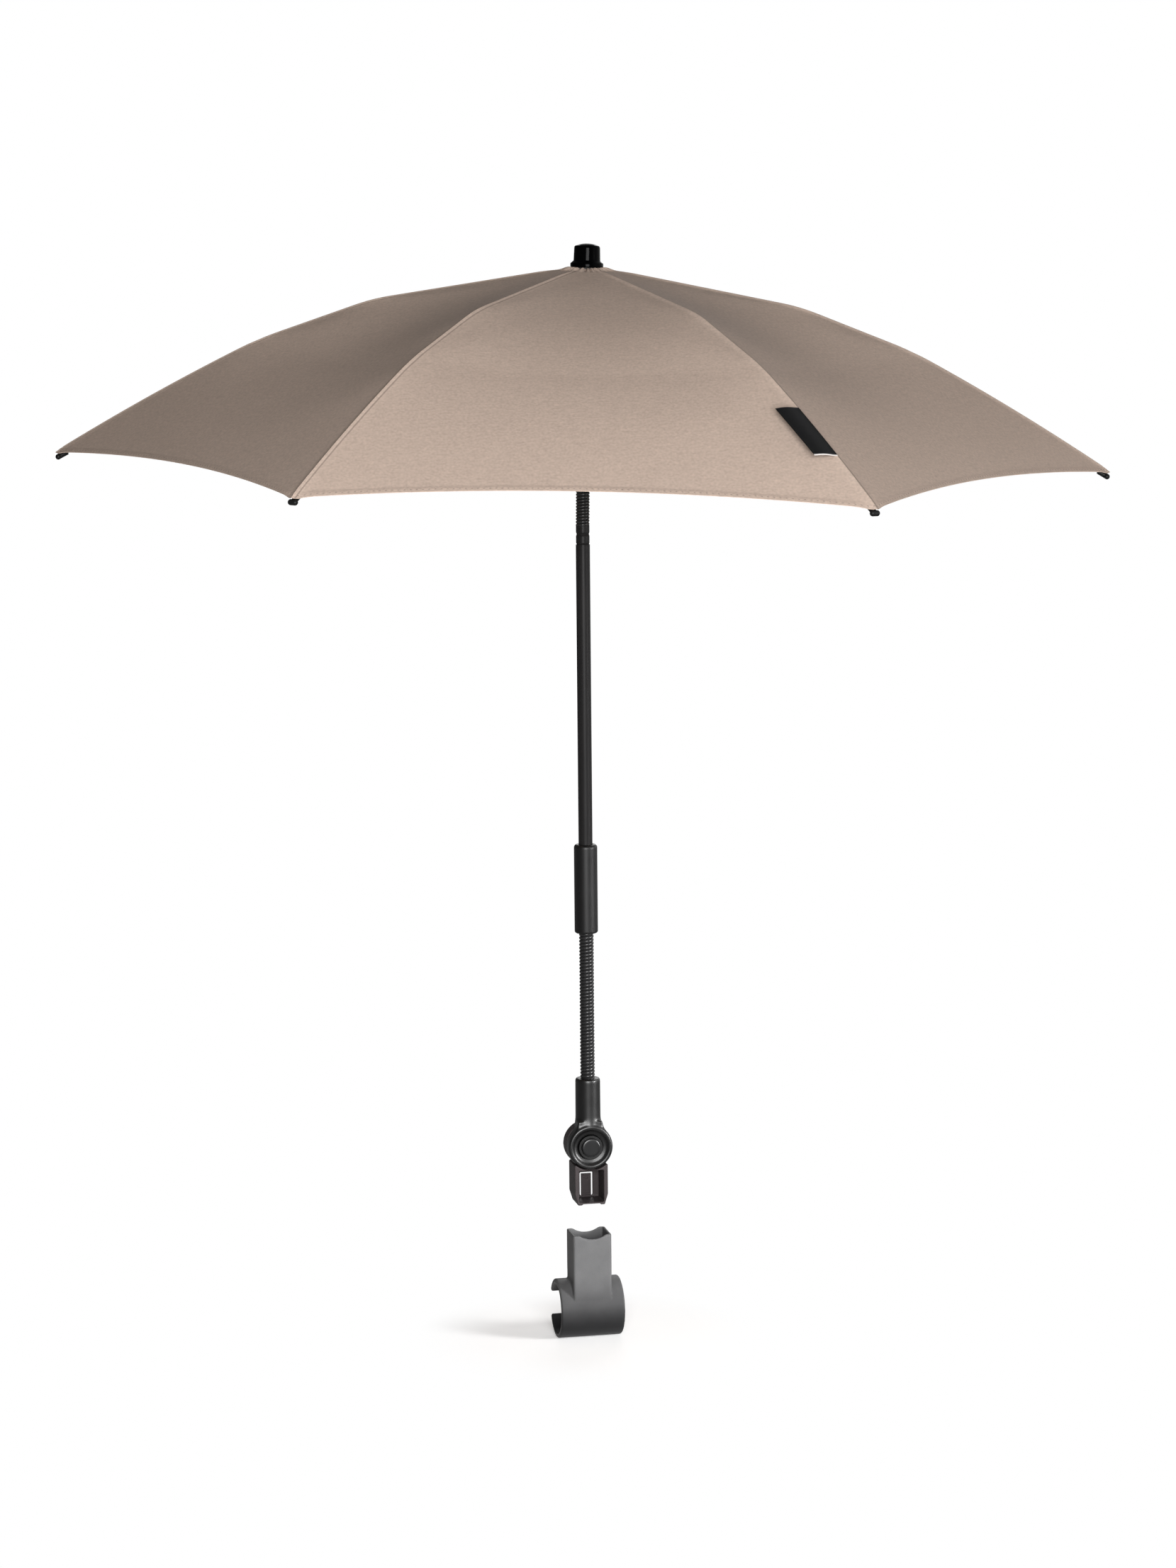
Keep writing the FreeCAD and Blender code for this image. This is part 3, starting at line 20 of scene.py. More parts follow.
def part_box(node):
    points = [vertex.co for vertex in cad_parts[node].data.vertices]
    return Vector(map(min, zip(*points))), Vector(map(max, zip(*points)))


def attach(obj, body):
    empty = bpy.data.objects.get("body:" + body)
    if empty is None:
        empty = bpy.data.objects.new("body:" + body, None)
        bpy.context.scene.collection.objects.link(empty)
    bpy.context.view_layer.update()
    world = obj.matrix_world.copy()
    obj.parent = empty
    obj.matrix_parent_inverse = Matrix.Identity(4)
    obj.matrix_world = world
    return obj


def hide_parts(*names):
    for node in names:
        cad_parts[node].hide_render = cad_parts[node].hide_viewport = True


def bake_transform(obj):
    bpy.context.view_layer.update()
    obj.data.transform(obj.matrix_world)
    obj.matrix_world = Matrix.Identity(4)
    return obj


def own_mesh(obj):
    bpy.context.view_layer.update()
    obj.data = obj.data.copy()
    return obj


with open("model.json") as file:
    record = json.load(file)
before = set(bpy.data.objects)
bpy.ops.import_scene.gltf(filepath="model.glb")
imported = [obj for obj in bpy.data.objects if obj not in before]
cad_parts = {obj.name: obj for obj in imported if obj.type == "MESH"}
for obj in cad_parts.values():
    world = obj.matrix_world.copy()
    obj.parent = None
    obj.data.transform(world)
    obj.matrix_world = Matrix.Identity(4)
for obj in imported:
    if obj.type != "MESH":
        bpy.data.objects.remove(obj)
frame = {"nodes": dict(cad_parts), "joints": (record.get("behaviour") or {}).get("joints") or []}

LOG = logging.getLogger("parasol")
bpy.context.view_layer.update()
JOINTS = {joint["name"]: joint for joint in frame["joints"]}
MILLIMETRE = 0.001
MERGE_DISTANCE = 1e-6

Colour = tuple[float, float, float, float]
Spot = tuple[float, float, float]
Pair = tuple[float, float]

WHITE: Colour = (1.0, 1.0, 1.0, 1.0)


class Body(str, Enum):
    """The moving bodies that new pieces ride on."""

    CLIP = "clip"
    PLUG = "plug"
    KNUCKLE = "knuckle"
    BUTTON = "button"
    SHAFT = "shaft"
    CROWN = "crown"
    TAGGED_RIB = "rib_6"


def smooth_step(share: float) -> float:
    """An even ease from 0 to 1."""
    held = min(max(share, 0.0), 1.0)
    return held * held * (3.0 - 2.0 * held)


def ramp(distance: float, softness: float) -> float:
    """A hinge in a straight line: 0 before it, the distance after it, rounded within a softness."""
    if abs(distance) >= softness:
        return max(distance, 0.0)
    return (distance + softness) ** 2 / (4.0 * softness)


def hump(distance: float, width: float) -> float:
    """A bell of height 1 that dies away over a width."""
    return math.exp(-((distance / width) ** 2))


# Shader writing


class Signal:
    """A shader socket that takes part in Python arithmetic."""

    def __init__(self, shader: Shader, socket: bpy.types.NodeSocket) -> None:
        """Keeps the socket and the shader that its Math nodes are added to."""
        self.shader = shader
        self.socket = socket

    def __add__(self, other: Signal | float) -> Signal:
        """The sum of two values."""
        return self.shader.math("ADD", self, other)

    def __sub__(self, other: Signal | float) -> Signal:
        """The difference of two values."""
        return self.shader.math("SUBTRACT", self, other)

    def __rsub__(self, other: float) -> Signal:
        """A number less this value."""
        return self.shader.math("SUBTRACT", other, self)

    def __mul__(self, other: Signal | float) -> Signal:
        """The product of two values."""
        return self.shader.math("MULTIPLY", self, other)

    def __truediv__(self, other: Signal | float) -> Signal:
        """The quotient of two values."""
        return self.shader.math("DIVIDE", self, other)

    def __abs__(self) -> Signal:
        """The value without its sign."""
        return self.shader.math("ABSOLUTE", self)

    def __lt__(self, limit: float) -> Signal:
        """1 where the value is under a limit."""
        return self.shader.math("LESS_THAN", self, limit)

    __radd__ = __add__

    def fraction(self) -> Signal:
        """What is left after the whole number."""
        return self.shader.math("FRACT", self)

    def sine(self) -> Signal:
        """The sine of the value in radians."""
        return self.shader.math("SINE", self)


class Shader:
    """The nodes of one procedural material or world, written one by one."""

    MIX_FACTOR = 0
    MIX_FIRST = 6
    MIX_SECOND = 7
    MIX_RESULT = 2

    def __init__(self, owner: bpy.types.Material | bpy.types.World) -> None:
        """Empties the owner's tree."""
        owner.use_nodes = True
        self.owner = owner
        self.tree = owner.node_tree
        self.tree.nodes.clear()

    @classmethod
    def named(cls, name: str) -> Shader:
        """Starts a new material of that name."""
        return cls(bpy.data.materials.new(name))

    def node(self, kind: str, settings: dict | None = None, sockets: dict | None = None,
             output: str | int = 0) -> Signal:
        """Adds one node.

        Args:
            kind: The node's type.
            settings: Its own properties, set first.
            sockets: Values or links of its inputs, by name or index.
            output: The output that is wanted.

        Returns:
            The wanted output.
        """
        made = self.tree.nodes.new(kind)
        for name, value in (settings or {}).items():
            setattr(made, name, value)
        for key, value in (sockets or {}).items():
            if isinstance(value, Signal):
                self.tree.links.new(value.socket, made.inputs[key])
            else:
                made.inputs[key].default_value = value
        return Signal(self, made.outputs[output])

    def math(self, operation: str, first: Signal | float, second: Signal | float | None = None) -> Signal:
        """Adds a Math node for one or two values."""
        sockets = {0: first} if second is None else {0: first, 1: second}
        return self.node("ShaderNodeMath", {"operation": operation}, sockets)

    def place(self, stretch: Spot = (1.0, 1.0, 1.0)) -> Signal:
        """Object coordinates, scaled on each axis."""
        spot = self.node("ShaderNodeTexCoord", output="Object")
        return self.node("ShaderNodeMapping", {}, {"Vector": spot, "Scale": stretch})

    def map_axes(self, name: str) -> tuple[Signal, Signal]:
        """The two coordinates of one of the piece's own UV maps, in metres."""
        spot = self.node("ShaderNodeUVMap", {"uv_map": name})
        split = self.node("ShaderNodeSeparateXYZ", {}, {"Vector": spot}, "X")
        return split, Signal(self, split.socket.node.outputs["Y"])

    def noise(self, spot: Signal, scale: float, detail: float = 2.0) -> Signal:
        """Fractal noise about one half, with so many features to a metre."""
        return self.node("ShaderNodeTexNoise", {}, {"Vector": spot, "Scale": scale, "Detail": detail})

    def ease(self, value: Signal, start: float, end: float, lowest: float = 0.0) -> Signal:
        """An even ease from a lowest result to 1 as a value goes from a start to an end."""
        return self.node("ShaderNodeMapRange", {"interpolation_type": "SMOOTHSTEP"},
                         {0: value, 1: start, 2: end, 3: lowest, 4: 1.0})

    def tint(self, factor: Signal | float, first: Colour | Signal, second: Colour | Signal,
             blend: str = "MIX") -> Signal:
        """A blend of two colours."""
        settings = {"data_type": "RGBA", "blend_type": blend}
        sockets = {self.MIX_FACTOR: factor, self.MIX_FIRST: first, self.MIX_SECOND: second}
        return self.node("ShaderNodeMix", settings, sockets, self.MIX_RESULT)

    def shade(self, colour: Colour | Signal, level: Signal) -> Signal:
        """A colour made lighter or darker by a level about one."""
        grey = self.node("ShaderNodeCombineColor", {}, {0: level, 1: level, 2: level})
        return self.tint(1.0, colour, grey, "MULTIPLY")

    def bump(self, height: Signal, depth: float, strength: float = 1.0) -> Signal:
        """A normal from a height that counts in depths, in metres."""
        return self.node("ShaderNodeBump", {}, {"Height": height, "Distance": depth, "Strength": strength})

    def surface(self, sockets: dict) -> bpy.types.Material:
        """Ends the material in one Principled shader."""
        return self.finish(self.node("ShaderNodeBsdfPrincipled", {}, sockets))

    def finish(self, shader: Signal,
               kind: str = "ShaderNodeOutputMaterial") -> bpy.types.Material | bpy.types.World:
        """Links a finished shader to the output and gives back the owner."""
        target = self.tree.nodes.new(kind)
        self.tree.links.new(shader.socket, target.inputs["Surface"])
        return self.owner


# Finishes


@dataclass(frozen=True)
class Moulding:
    """Moulded plastic: spark-eroded grain, faint flow clouds and paler rubbed patches; on request its colour
    turns paler with the height, which is painted light on the top and painted shade below.
    """

    name: str
    colour: Colour
    roughness: float
    grain_size: float = 0.35 * MILLIMETRE
    grain_depth: float = 0.02 * MILLIMETRE
    cloud: float = 0.16
    cloud_scale: float = 90.0
    cloud_roughness: float = 0.14
    grain_roughness: float = 0.1
    specular: float = 0.14
    # the next three fields paint light on the top: the paler colour and the heights over which it fades in
    painted_light_colour: Colour | None = None
    painted_light_from: float = 0.0
    painted_light_to: float = 0.0

    def make(self) -> bpy.types.Material:
        """Writes the material."""
        shader = Shader.named(self.name)
        spot = shader.place()
        grain = shader.noise(spot, 1.0 / self.grain_size, detail=3.0)
        cloud = shader.noise(spot, self.cloud_scale, detail=3.0)
        level = 1.0 + (cloud - 0.5) * (2.0 * self.cloud) + (grain - 0.5) * self.cloud
        # where a lit top colour is given, painted light makes the piece paler with the height
        colour = self.colour if self.painted_light_colour is None else self.painted_top_light(shader)
        return shader.surface({
            "Base Color": shader.shade(colour, level),
            "Roughness": (self.roughness + (cloud - 0.5) * self.cloud_roughness
                          + (grain - 0.5) * self.grain_roughness),
            "Specular IOR Level": self.specular,
            "Normal": shader.bump(grain, self.grain_depth),
        })

    def painted_top_light(self, shader: Shader) -> Signal:
        """Painted light: the colour turns from dark at the bottom to pale at the top, as if the top were lit
        and the bottom lay in shade.
        """
        height = shader.node("ShaderNodeSeparateXYZ", {}, {"Vector": shader.place()}, "Z")
        share = shader.ease(height, self.painted_light_from, self.painted_light_to)
        return shader.tint(share, self.colour, self.painted_light_colour)


@dataclass(frozen=True)
class Lacquer:
    """Black lacquer on metal: drawn-out streaks along the tube and small specks."""

    name: str
    colour: Colour
    roughness: float
    streak: float = 0.2
    streak_scale: float = 700.0
    streak_stretch: float = 0.06
    streak_roughness: float = 0.12
    speck_scale: float = 1500.0
    speck_roughness: float = 0.06
    speck_depth: float = 0.012 * MILLIMETRE
    metallic: float = 0.0
    coat: float = 0.0
    coat_roughness: float = 0.12
    specular: float = 0.14

    def make(self) -> bpy.types.Material:
        """Writes the material."""
        shader = Shader.named(self.name)
        streaks = shader.noise(shader.place((1.0, 1.0, self.streak_stretch)), self.streak_scale)
        specks = shader.noise(shader.place(), self.speck_scale)
        level = 1.0 + (streaks - 0.5) * (2.0 * self.streak) + (specks - 0.5) * self.streak
        return shader.surface({
            "Base Color": shader.shade(self.colour, level),
            "Roughness": (self.roughness + (streaks - 0.5) * self.streak_roughness
                          + (specks - 0.5) * self.speck_roughness),
            "Metallic": self.metallic,
            "Specular IOR Level": self.specular,
            "Coat Weight": self.coat,
            "Coat Roughness": self.coat_roughness,
            "Normal": shader.bump(specks, self.speck_depth),
        })


@dataclass(frozen=True)
class PlainWeave:
    """Taupe cloth in plain weave, with slubs, a groove beside the seam on each rib darkened with painted
    shade, and a stitched hem whose stitch holes are darkened with painted shade.
    """

    name: str
    colour: Colour
    thread: float = 0.8 * MILLIMETRE
    thread_tone: float = 0.035
    speck_scale: float = 560.0
    speck_tone: float = 0.5
    slub_scale: float = 160.0
    slub_stretch: float = 6.0
    slub_tone: float = 0.2
    cloud_scale: float = 9.0
    cloud_tone: float = 0.1
    # a thin groove beside each seam ridge, darkened as painted shade
    seam_line: float = 2.1 * MILLIMETRE
    seam_line_width: float = 0.45 * MILLIMETRE
    seam_groove_shade: float = 0.34
    stitch_inset: float = 2.4 * MILLIMETRE
    stitch_width: float = 0.45 * MILLIMETRE
    stitch_pitch: float = 3.2 * MILLIMETRE
    stitch_share: float = 0.7
    stitch_tone: float = 0.07
    # how much the stitch holes are darkened, as painted shade in the holes
    hole_shade: float = 0.3
    roughness: float = 0.82
    speck_roughness: float = 0.12
    specular: float = 0.05
    sheen: float = 0.03
    sheen_roughness: float = 0.5
    relief: float = 0.06 * MILLIMETRE
    relief_strength: float = 0.6
    weave_relief: float = 0.5
    stitch_relief: float = 4.0
    seam_relief: float = 3.0

    def make(self) -> bpy.types.Material:
        """Writes the material."""
        shader = Shader.named(self.name)
        across, along = shader.map_axes(Canopy.CLOTH_MAP)
        hem, inset = shader.map_axes(Canopy.HEM_MAP)
        turn = 2.0 * math.pi / self.thread
        weave = (across * turn).sine() * (along * turn).sine()
        speck = shader.noise(shader.place(), self.speck_scale, detail=3.0)
        slub = shader.noise(shader.place((1.0, 1.0, self.slub_stretch)), self.slub_scale)
        cloud = shader.noise(shader.place(), self.cloud_scale)
        seam = abs(across - self.seam_line) < self.seam_line_width
        on_line = abs(inset - self.stitch_inset) < self.stitch_width
        dash = (hem / self.stitch_pitch).fraction() < self.stitch_share
        thread = on_line * dash
        hole = on_line * (1.0 - dash)
        level = 1.0 + weave * self.thread_tone + (speck - 0.5) * self.speck_tone
        level = level + (slub - 0.5) * self.slub_tone + (cloud - 0.5) * self.cloud_tone
        # painted shade in the groove beside the seam ridge
        level = level * (1.0 - seam * self.seam_groove_shade)
        # painted shade in the stitch holes; the threads are slightly paler
        level = level * (1.0 + thread * self.stitch_tone - hole * self.hole_shade)
        height = weave * self.weave_relief + speck - seam * self.seam_relief
        height = height + thread * self.stitch_relief - hole * self.stitch_relief
        return shader.surface({
            "Base Color": shader.shade(self.colour, level),
            "Roughness": self.roughness + (speck - 0.5) * self.speck_roughness,
            "Specular IOR Level": self.specular,
            "Sheen Weight": self.sheen,
            "Sheen Roughness": self.sheen_roughness,
            "Normal": shader.bump(height, self.relief, self.relief_strength),
        })


@dataclass(frozen=True)
class TagWeave:
    """Black woven tape with a pale selvage across its lower end."""

    name: str
    colour: Colour
    selvage: Colour
    selvage_width: float = 0.9 * MILLIMETRE
    thread: float = 0.5 * MILLIMETRE
    thread_tone: float = 0.12
    speck_scale: float = 2500.0
    speck_tone: float = 0.3
    roughness: float = 0.6
    speck_roughness: float = 0.2
    specular: float = 0.04
    sheen: float = 0.01
    relief: float = 0.05 * MILLIMETRE
    relief_strength: float = 0.7

    def make(self) -> bpy.types.Material:
        """Writes the material."""
        shader = Shader.named(self.name)
        across, along = shader.map_axes(LabelTag.TAPE_MAP)
        turn = 2.0 * math.pi / self.thread
        weave = (across * turn).sine() * (along * turn).sine()
        edge = along < self.selvage_width
        colour = shader.tint(edge, self.colour, self.selvage)
        speck = shader.noise(shader.place(), self.speck_scale)
        level = 1.0 + weave * self.thread_tone + (speck - 0.5) * self.speck_tone
        return shader.surface({
            "Base Color": shader.shade(colour, level),
            "Roughness": self.roughness + (speck - 0.5) * self.speck_roughness,
            "Specular IOR Level": self.specular,
            "Sheen Weight": self.sheen,
            "Normal": shader.bump(weave + speck, self.relief, self.relief_strength),
        })


class Finishes:
    """Every finish of the parasol, made once and shared."""

    def __init__(self) -> None:
        """Writes all the materials."""
        polished = {"cloud": 0.08, "grain_depth": 0.004 * MILLIMETRE}
        # the clip's colour runs from dark low down to pale on top: painted shade below and painted light
        # above
        self.clip = Moulding("clip_moulding", (0.014, 0.014, 0.0147, 1.0), 0.46, grain_size=0.5 * MILLIMETRE,
                             grain_depth=0.05 * MILLIMETRE, specular=0.1,
                             painted_light_colour=(0.108, 0.108, 0.11, 1.0), painted_light_from=-0.012, painted_light_to=0.03).make()
        self.plug = Moulding("plug_moulding", (0.04, 0.034, 0.035, 1.0), 0.42, specular=0.1).make()
        self.knuckle = Moulding("knuckle_moulding", (0.004, 0.0039, 0.004, 1.0), 0.36, specular=0.5,
                                **polished).make()
        self.button = Moulding("button_moulding", (0.005, 0.005, 0.0054, 1.0), 0.32, specular=0.5,
                               **polished).make()
        self.sleeve = Moulding("sleeve_moulding", (0.0052, 0.005, 0.0052, 1.0), 0.4, specular=0.32,
                               **polished).make()
        self.inner = Moulding("inner_moulding", (0.02, 0.02, 0.02, 1.0), 0.5).make()
        self.tip = Moulding("tip_moulding", (0.008, 0.008, 0.008, 1.0), 0.4).make()
        self.finial = Moulding("finial_gloss", (0.0008, 0.0008, 0.001, 1.0), 0.12, cloud=0.1, specular=0.03,
                               grain_depth=0.003 * MILLIMETRE).make()
        self.tube = Lacquer("tube_lacquer", (0.0125, 0.012, 0.0122, 1.0), 0.36, specular=0.1).make()
        self.coil = Lacquer("coil_lacquer", (0.018, 0.018, 0.0185, 1.0), 0.28, metallic=0.1, coat=0.12,
                            specular=0.3).make()
        self.rib = Lacquer("rib_lacquer", (0.02, 0.02, 0.021, 1.0), 0.35, metallic=0.2).make()
        self.steel = Lacquer("zinc_steel", (0.5, 0.5, 0.51, 1.0), 0.32, streak=0.08, metallic=1.0,
                             specular=0.5).make()
        self.cloth = PlainWeave("taupe_weave", (0.52, 0.41, 0.342, 1.0)).make()
        self.tag = TagWeave("tag_weave", (0.0035, 0.0035, 0.004, 1.0), (0.75, 0.72, 0.7, 1.0)).make()


# Modelling by hand


def fresh_start() -> None:
    """Leaves nothing selected, in object mode."""
    if bpy.context.object and bpy.context.object.mode != "OBJECT":
        bpy.ops.object.mode_set(mode="OBJECT")
    bpy.ops.object.select_all(action="DESELECT")


def take_up(piece: bpy.types.Object) -> None:
    """Makes a piece the active one and the only one selected, in object mode."""
    fresh_start()
    piece.select_set(True)
    bpy.context.view_layer.objects.active = piece


def apply_modifiers(piece: bpy.types.Object) -> None:
    """Applies every modifier of a piece in order."""
    take_up(piece)
    for modifier in list(piece.modifiers):
        bpy.ops.object.modifier_apply(modifier=modifier.name)


def settle(piece: bpy.types.Object, name: str) -> None:
    """Names a piece and moves its place into its mesh."""
    piece.name = name
    piece.data.name = name
    take_up(piece)
    bpy.ops.object.transform_apply(location=True, rotation=True, scale=True)


def close_ends(piece: bpy.types.Object, sides: int) -> None:
    """Fills a piece's open ends of up to so many sides."""
    take_up(piece)
    bpy.ops.object.mode_set(mode="EDIT")
    bpy.ops.mesh.select_mode(type="EDGE")
    bpy.ops.mesh.select_all(action="DESELECT")
    bpy.ops.mesh.select_non_manifold(extend=False, use_wire=False, use_multi_face=False,
                                     use_non_contiguous=False, use_verts=False)
    bpy.ops.mesh.fill_holes(sides=sides)
    bpy.ops.object.mode_set(mode="OBJECT")


def face_outwards(piece: bpy.types.Object) -> None:
    """Merges doubles and turns every face of a closed piece outwards."""
    take_up(piece)
    bpy.ops.object.mode_set(mode="EDIT")
    bpy.ops.mesh.select_all(action="SELECT")
    bpy.ops.mesh.remove_doubles(threshold=MERGE_DISTANCE)
    bpy.ops.mesh.normals_make_consistent(inside=False)
    bpy.ops.object.mode_set(mode="OBJECT")


def shade_smooth(piece: bpy.types.Object, angle: float = 40.0) -> None:
    """Shades a piece smooth up to an angle in degrees."""
    take_up(piece)
    bpy.ops.object.shade_smooth_by_angle(angle=math.radians(angle))


def give_map(piece: bpy.types.Object, name: str, spots: list[Pair]) -> None:
    """Gives a piece a UV map from one pair of coordinates per vertex."""
    layer = piece.data.uv_layers.new(name=name)
    flat = [number for loop in piece.data.loops for number in spots[loop.vertex_index]]
    layer.data.foreach_set("uv", flat)


def dress(piece: bpy.types.Object, material: bpy.types.Material) -> None:
    """Gives a piece one material."""
    piece.data.materials.clear()
    piece.data.materials.append(material)


# Sub-assemblies


class CanopyFrame:
    """Where the canopy stands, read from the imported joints."""

    def __init__(self) -> None:
        """Reads the bend's place and the canopy's own upright."""
        self.foot = Vector(JOINTS["upper_bend"]["pos_m"])
        self.up = -Vector(JOINTS["runner_slide"]["axis"]).normalized()

    def rib(self, index: int) -> Matrix:
        """The frame of one rib: X outwards, Y along its hinge, Z up."""
        hinge = Vector(JOINTS[f"rib_{index + 1}_fold"]["axis"]).normalized()
        outwards = hinge.cross(self.up)
        turn = Matrix((outwards, hinge, self.up)).transposed()
        return Matrix.Translation(self.foot) @ turn.to_4x4()


@dataclass
class Canopy:
    """Six woven panels sewn over the ribs, one sheet to a rib, cut half-way between two ribs."""

    CLOTH_MAP = "Cloth"
    HEM_MAP = "Hem"

    rib_count: int = 6
    apex_rise: float = 0.1580
    apex_flat: float = 0.011
    apex_hole: float = 0.006
    first_bend: Pair = (0.147, 0.0245)
    second_bend: Pair = (0.225, 0.0535)
    tip: Pair = (0.3645, 0.1335)
    hem_arch: float = 0.0095
    apex_softness: float = 0.005
    rib_softness: float = 0.012
    panel_softness: float = 0.100
    rib_bow: float = 0.0022
    sag: float = 0.0035
    seam_height: float = 0.0008
    seam_width: float = 0.0017
    seam_start: float = 0.014
    seam_ease: float = 0.02
    tuck_depth: float = 0.001
    tuck_length: float = 0.007
    tuck_width: float = 0.012
    pleat_height: float = 0.0012
    pleat_reach: float = 0.014
    pleat_width: float = 0.0045
    pleat_count: int = 23
    pleat_wander: float = 1.7
    wander_count: float = 5.0
    hem_band: float = 0.0048
    hem_rise: float = 0.0003
    hem_ease: float = 0.001
    bend_allowance: float = 1.02
    thickness: float = 0.0005
    columns: int = 56
    rows: int = 96
    column_ease: float = 1.7
    folded_share: float = 0.17

    def slopes(self) -> tuple[float, float, float]:
        """The falls per reach of the three spans of a rib."""
        points = [(self.apex_flat, 0.0), self.first_bend, self.second_bend, self.tip]
        first, second, third = ((b[1] - a[1]) / (b[0] - a[0]) for a, b in zip(points, points[1:]))
        return first, second, third

    def fall(self, reach: float, middle: float) -> float:
        """How far the cloth lies under the apex.

        Args:
            reach: The rib's reach from the canopy's axis.
            middle: 0 on a rib and 1 half-way between two.

        Returns:
            The fall in metres.
        """
        first, second, third = self.slopes()
        soft = self.rib_softness + (self.panel_softness - self.rib_softness) * middle
        low = first * ramp(reach - self.apex_flat, self.apex_softness)
        low += (second - first) * ramp(reach - self.first_bend[0], soft)
        low += (third - second) * ramp(reach - self.second_bend[0], soft)
        last = (reach - self.second_bend[0]) / (self.tip[0] - self.second_bend[0])
        if 0.0 < last < 1.0:
            low -= self.rib_bow * 4.0 * last * (1.0 - last)
        share = min(max((reach - self.apex_flat) / (self.tip[0] - self.apex_flat), 0.0), 1.0)
        return low + self.sag * middle * math.sin(math.pi * share)

    def spot(self, across: float, down: float, index: int) -> tuple[Vector, Pair, Pair]:
        """One point of a sheet in its rib's frame.

        Args:
            across: From -1 at one cut edge over 0 on the rib to 1 at the other.
            down: From 0 at the apex to 1 at the hem.
            index: The rib's number, from 0.

        Returns:
            The point, its place on the cloth and its place along and from the hem.
        """
        chord = 0.5 * abs(across) ** self.column_ease
        middle = 4.0 * chord * (1.0 - chord)
        step = math.pi / self.rib_count
        hem_reach = self.tip[0] - self.hem_arch / math.cos(step) * middle
        share = 0.5 - 0.5 * math.cos(math.pi * down)
        reach = self.apex_hole + (hem_reach - self.apex_hole) * share
        side = math.copysign(1.0, -across) * reach * chord * math.sin(2.0 * step)
        out = reach * (1.0 - chord * (1.0 - math.cos(2.0 * step)))
        inset = (hem_reach - reach) * math.hypot(1.0, self.slopes()[2])
        height = -self.fall(reach, middle)
        clear = smooth_step((reach - self.seam_start) / self.seam_ease)
        height += self.seam_height * hump(side, self.seam_width) * clear
        height += self.hem_rise * smooth_step((self.hem_band - inset) / self.hem_ease)
        corner = smooth_step(1.0 - abs(side) / self.tuck_width)
        corner *= smooth_step(1.0 - (self.tip[0] - reach) / self.tuck_length)
        height -= self.tuck_depth * corner
        angle = math.atan2(side, out) + 2.0 * step * index
        wander = self.pleat_wander * math.sin(self.wander_count * angle)
        waves = math.sin(self.pleat_count * angle + wander)
        height += self.pleat_height * waves * hump(reach - self.pleat_reach, self.pleat_width)
        point = Vector((out, side, self.apex_rise + height))
        return point, (side, reach), (side, inset)

    def build(self, index: int, place: Matrix) -> bpy.types.Object:
        """Models the sheet over one rib from a grid.

        Args:
            index: The rib's number, from 0.
            place: The rib's frame.

        Returns:
            The finished sheet.
        """
        fresh_start()
        bpy.ops.mesh.primitive_grid_add(x_subdivisions=self.columns, y_subdivisions=self.rows, size=2.0)
        sheet = bpy.context.object
        settle(sheet, f"canopy_sheet_{index + 1}")
        found = [self.spot(vertex.co.x, (vertex.co.y + 1.0) / 2.0, index) for vertex in sheet.data.vertices]
        for vertex, (point, _, _) in zip(sheet.data.vertices, found):
            vertex.co = place @ point
        sheet.data.uv_layers.remove(sheet.data.uv_layers[0])
        give_map(sheet, self.CLOTH_MAP, [cloth for _, cloth, _ in found])
        give_map(sheet, self.HEM_MAP, [hem for _, _, hem in found])
        wall = sheet.modifiers.new("Cloth thickness", "SOLIDIFY")
        wall.thickness = self.thickness
        wall.offset = -1.0
        apply_modifiers(sheet)
        shade_smooth(sheet)
        return sheet

    def declare(self, sheet: bpy.types.Object, index: int) -> None:
        """Hangs a sheet on its rib, hides the CAD canopy and gives the sheet its own mesh.

        Args:
            sheet: The sheet.
            index: The rib's number, from 0.
        """
        number = index + 1
        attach(sheet, f"rib_{number}")
        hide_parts("canopy")
        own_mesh(sheet)

    def make(self, finishes: Finishes) -> None:
        """Models, dresses and hangs all the sheets."""
        canopy_frame = CanopyFrame()
        for index in range(self.rib_count):
            place = canopy_frame.rib(index)
            sheet = self.build(index, place)
            dress(sheet, finishes.cloth)
            self.declare(sheet, index)
            LOG.info("canopy sheet %d: %d faces", index + 1, len(sheet.data.polygons))


@dataclass
class Winding:
    """Wire wound round a straight axis."""

    name: str
    node: str
    foot: Vector
    head: Vector
    radius: float
    pitch: float
    wire_share: float = 1.08
    steps: int = 28
    wire_sides: int = 12
    hidden_turns: float = 1.0

    def build(self) -> bpy.types.Object:
        """Models the winding by screwing one wire section up its axis.

        Returns:
            The closed winding.
        """
        wire = self.pitch / 2.0 * self.wire_share
        run = self.head - self.foot
        turns = round(run.length / self.pitch + 2.0 * self.hidden_turns)
        rise = (run.length + 2.0 * self.hidden_turns * self.pitch) / turns
        fresh_start()
        bpy.ops.mesh.primitive_circle_add(vertices=self.wire_sides, radius=wire,
                                          location=(self.radius - wire, 0.0, 0.0),
                                          rotation=(math.pi / 2.0, 0.0, 0.0))
        coil = bpy.context.object
        settle(coil, self.name)
        winding = coil.modifiers.new("Winding", "SCREW")
        winding.axis = "Z"
        winding.screw_offset = rise
        winding.iterations = turns
        winding.steps = self.steps
        winding.render_steps = self.steps
        winding.use_smooth_shade = True
        apply_modifiers(coil)
        close_ends(coil, self.wire_sides)
        face_outwards(coil)
        start = self.foot - run.normalized() * (self.hidden_turns * self.pitch)
        turn = Vector((0.0, 0.0, 1.0)).rotation_difference(run).to_matrix().to_4x4()
        coil.data.transform(Matrix.Translation(start) @ turn)
        shade_smooth(coil)
        return coil


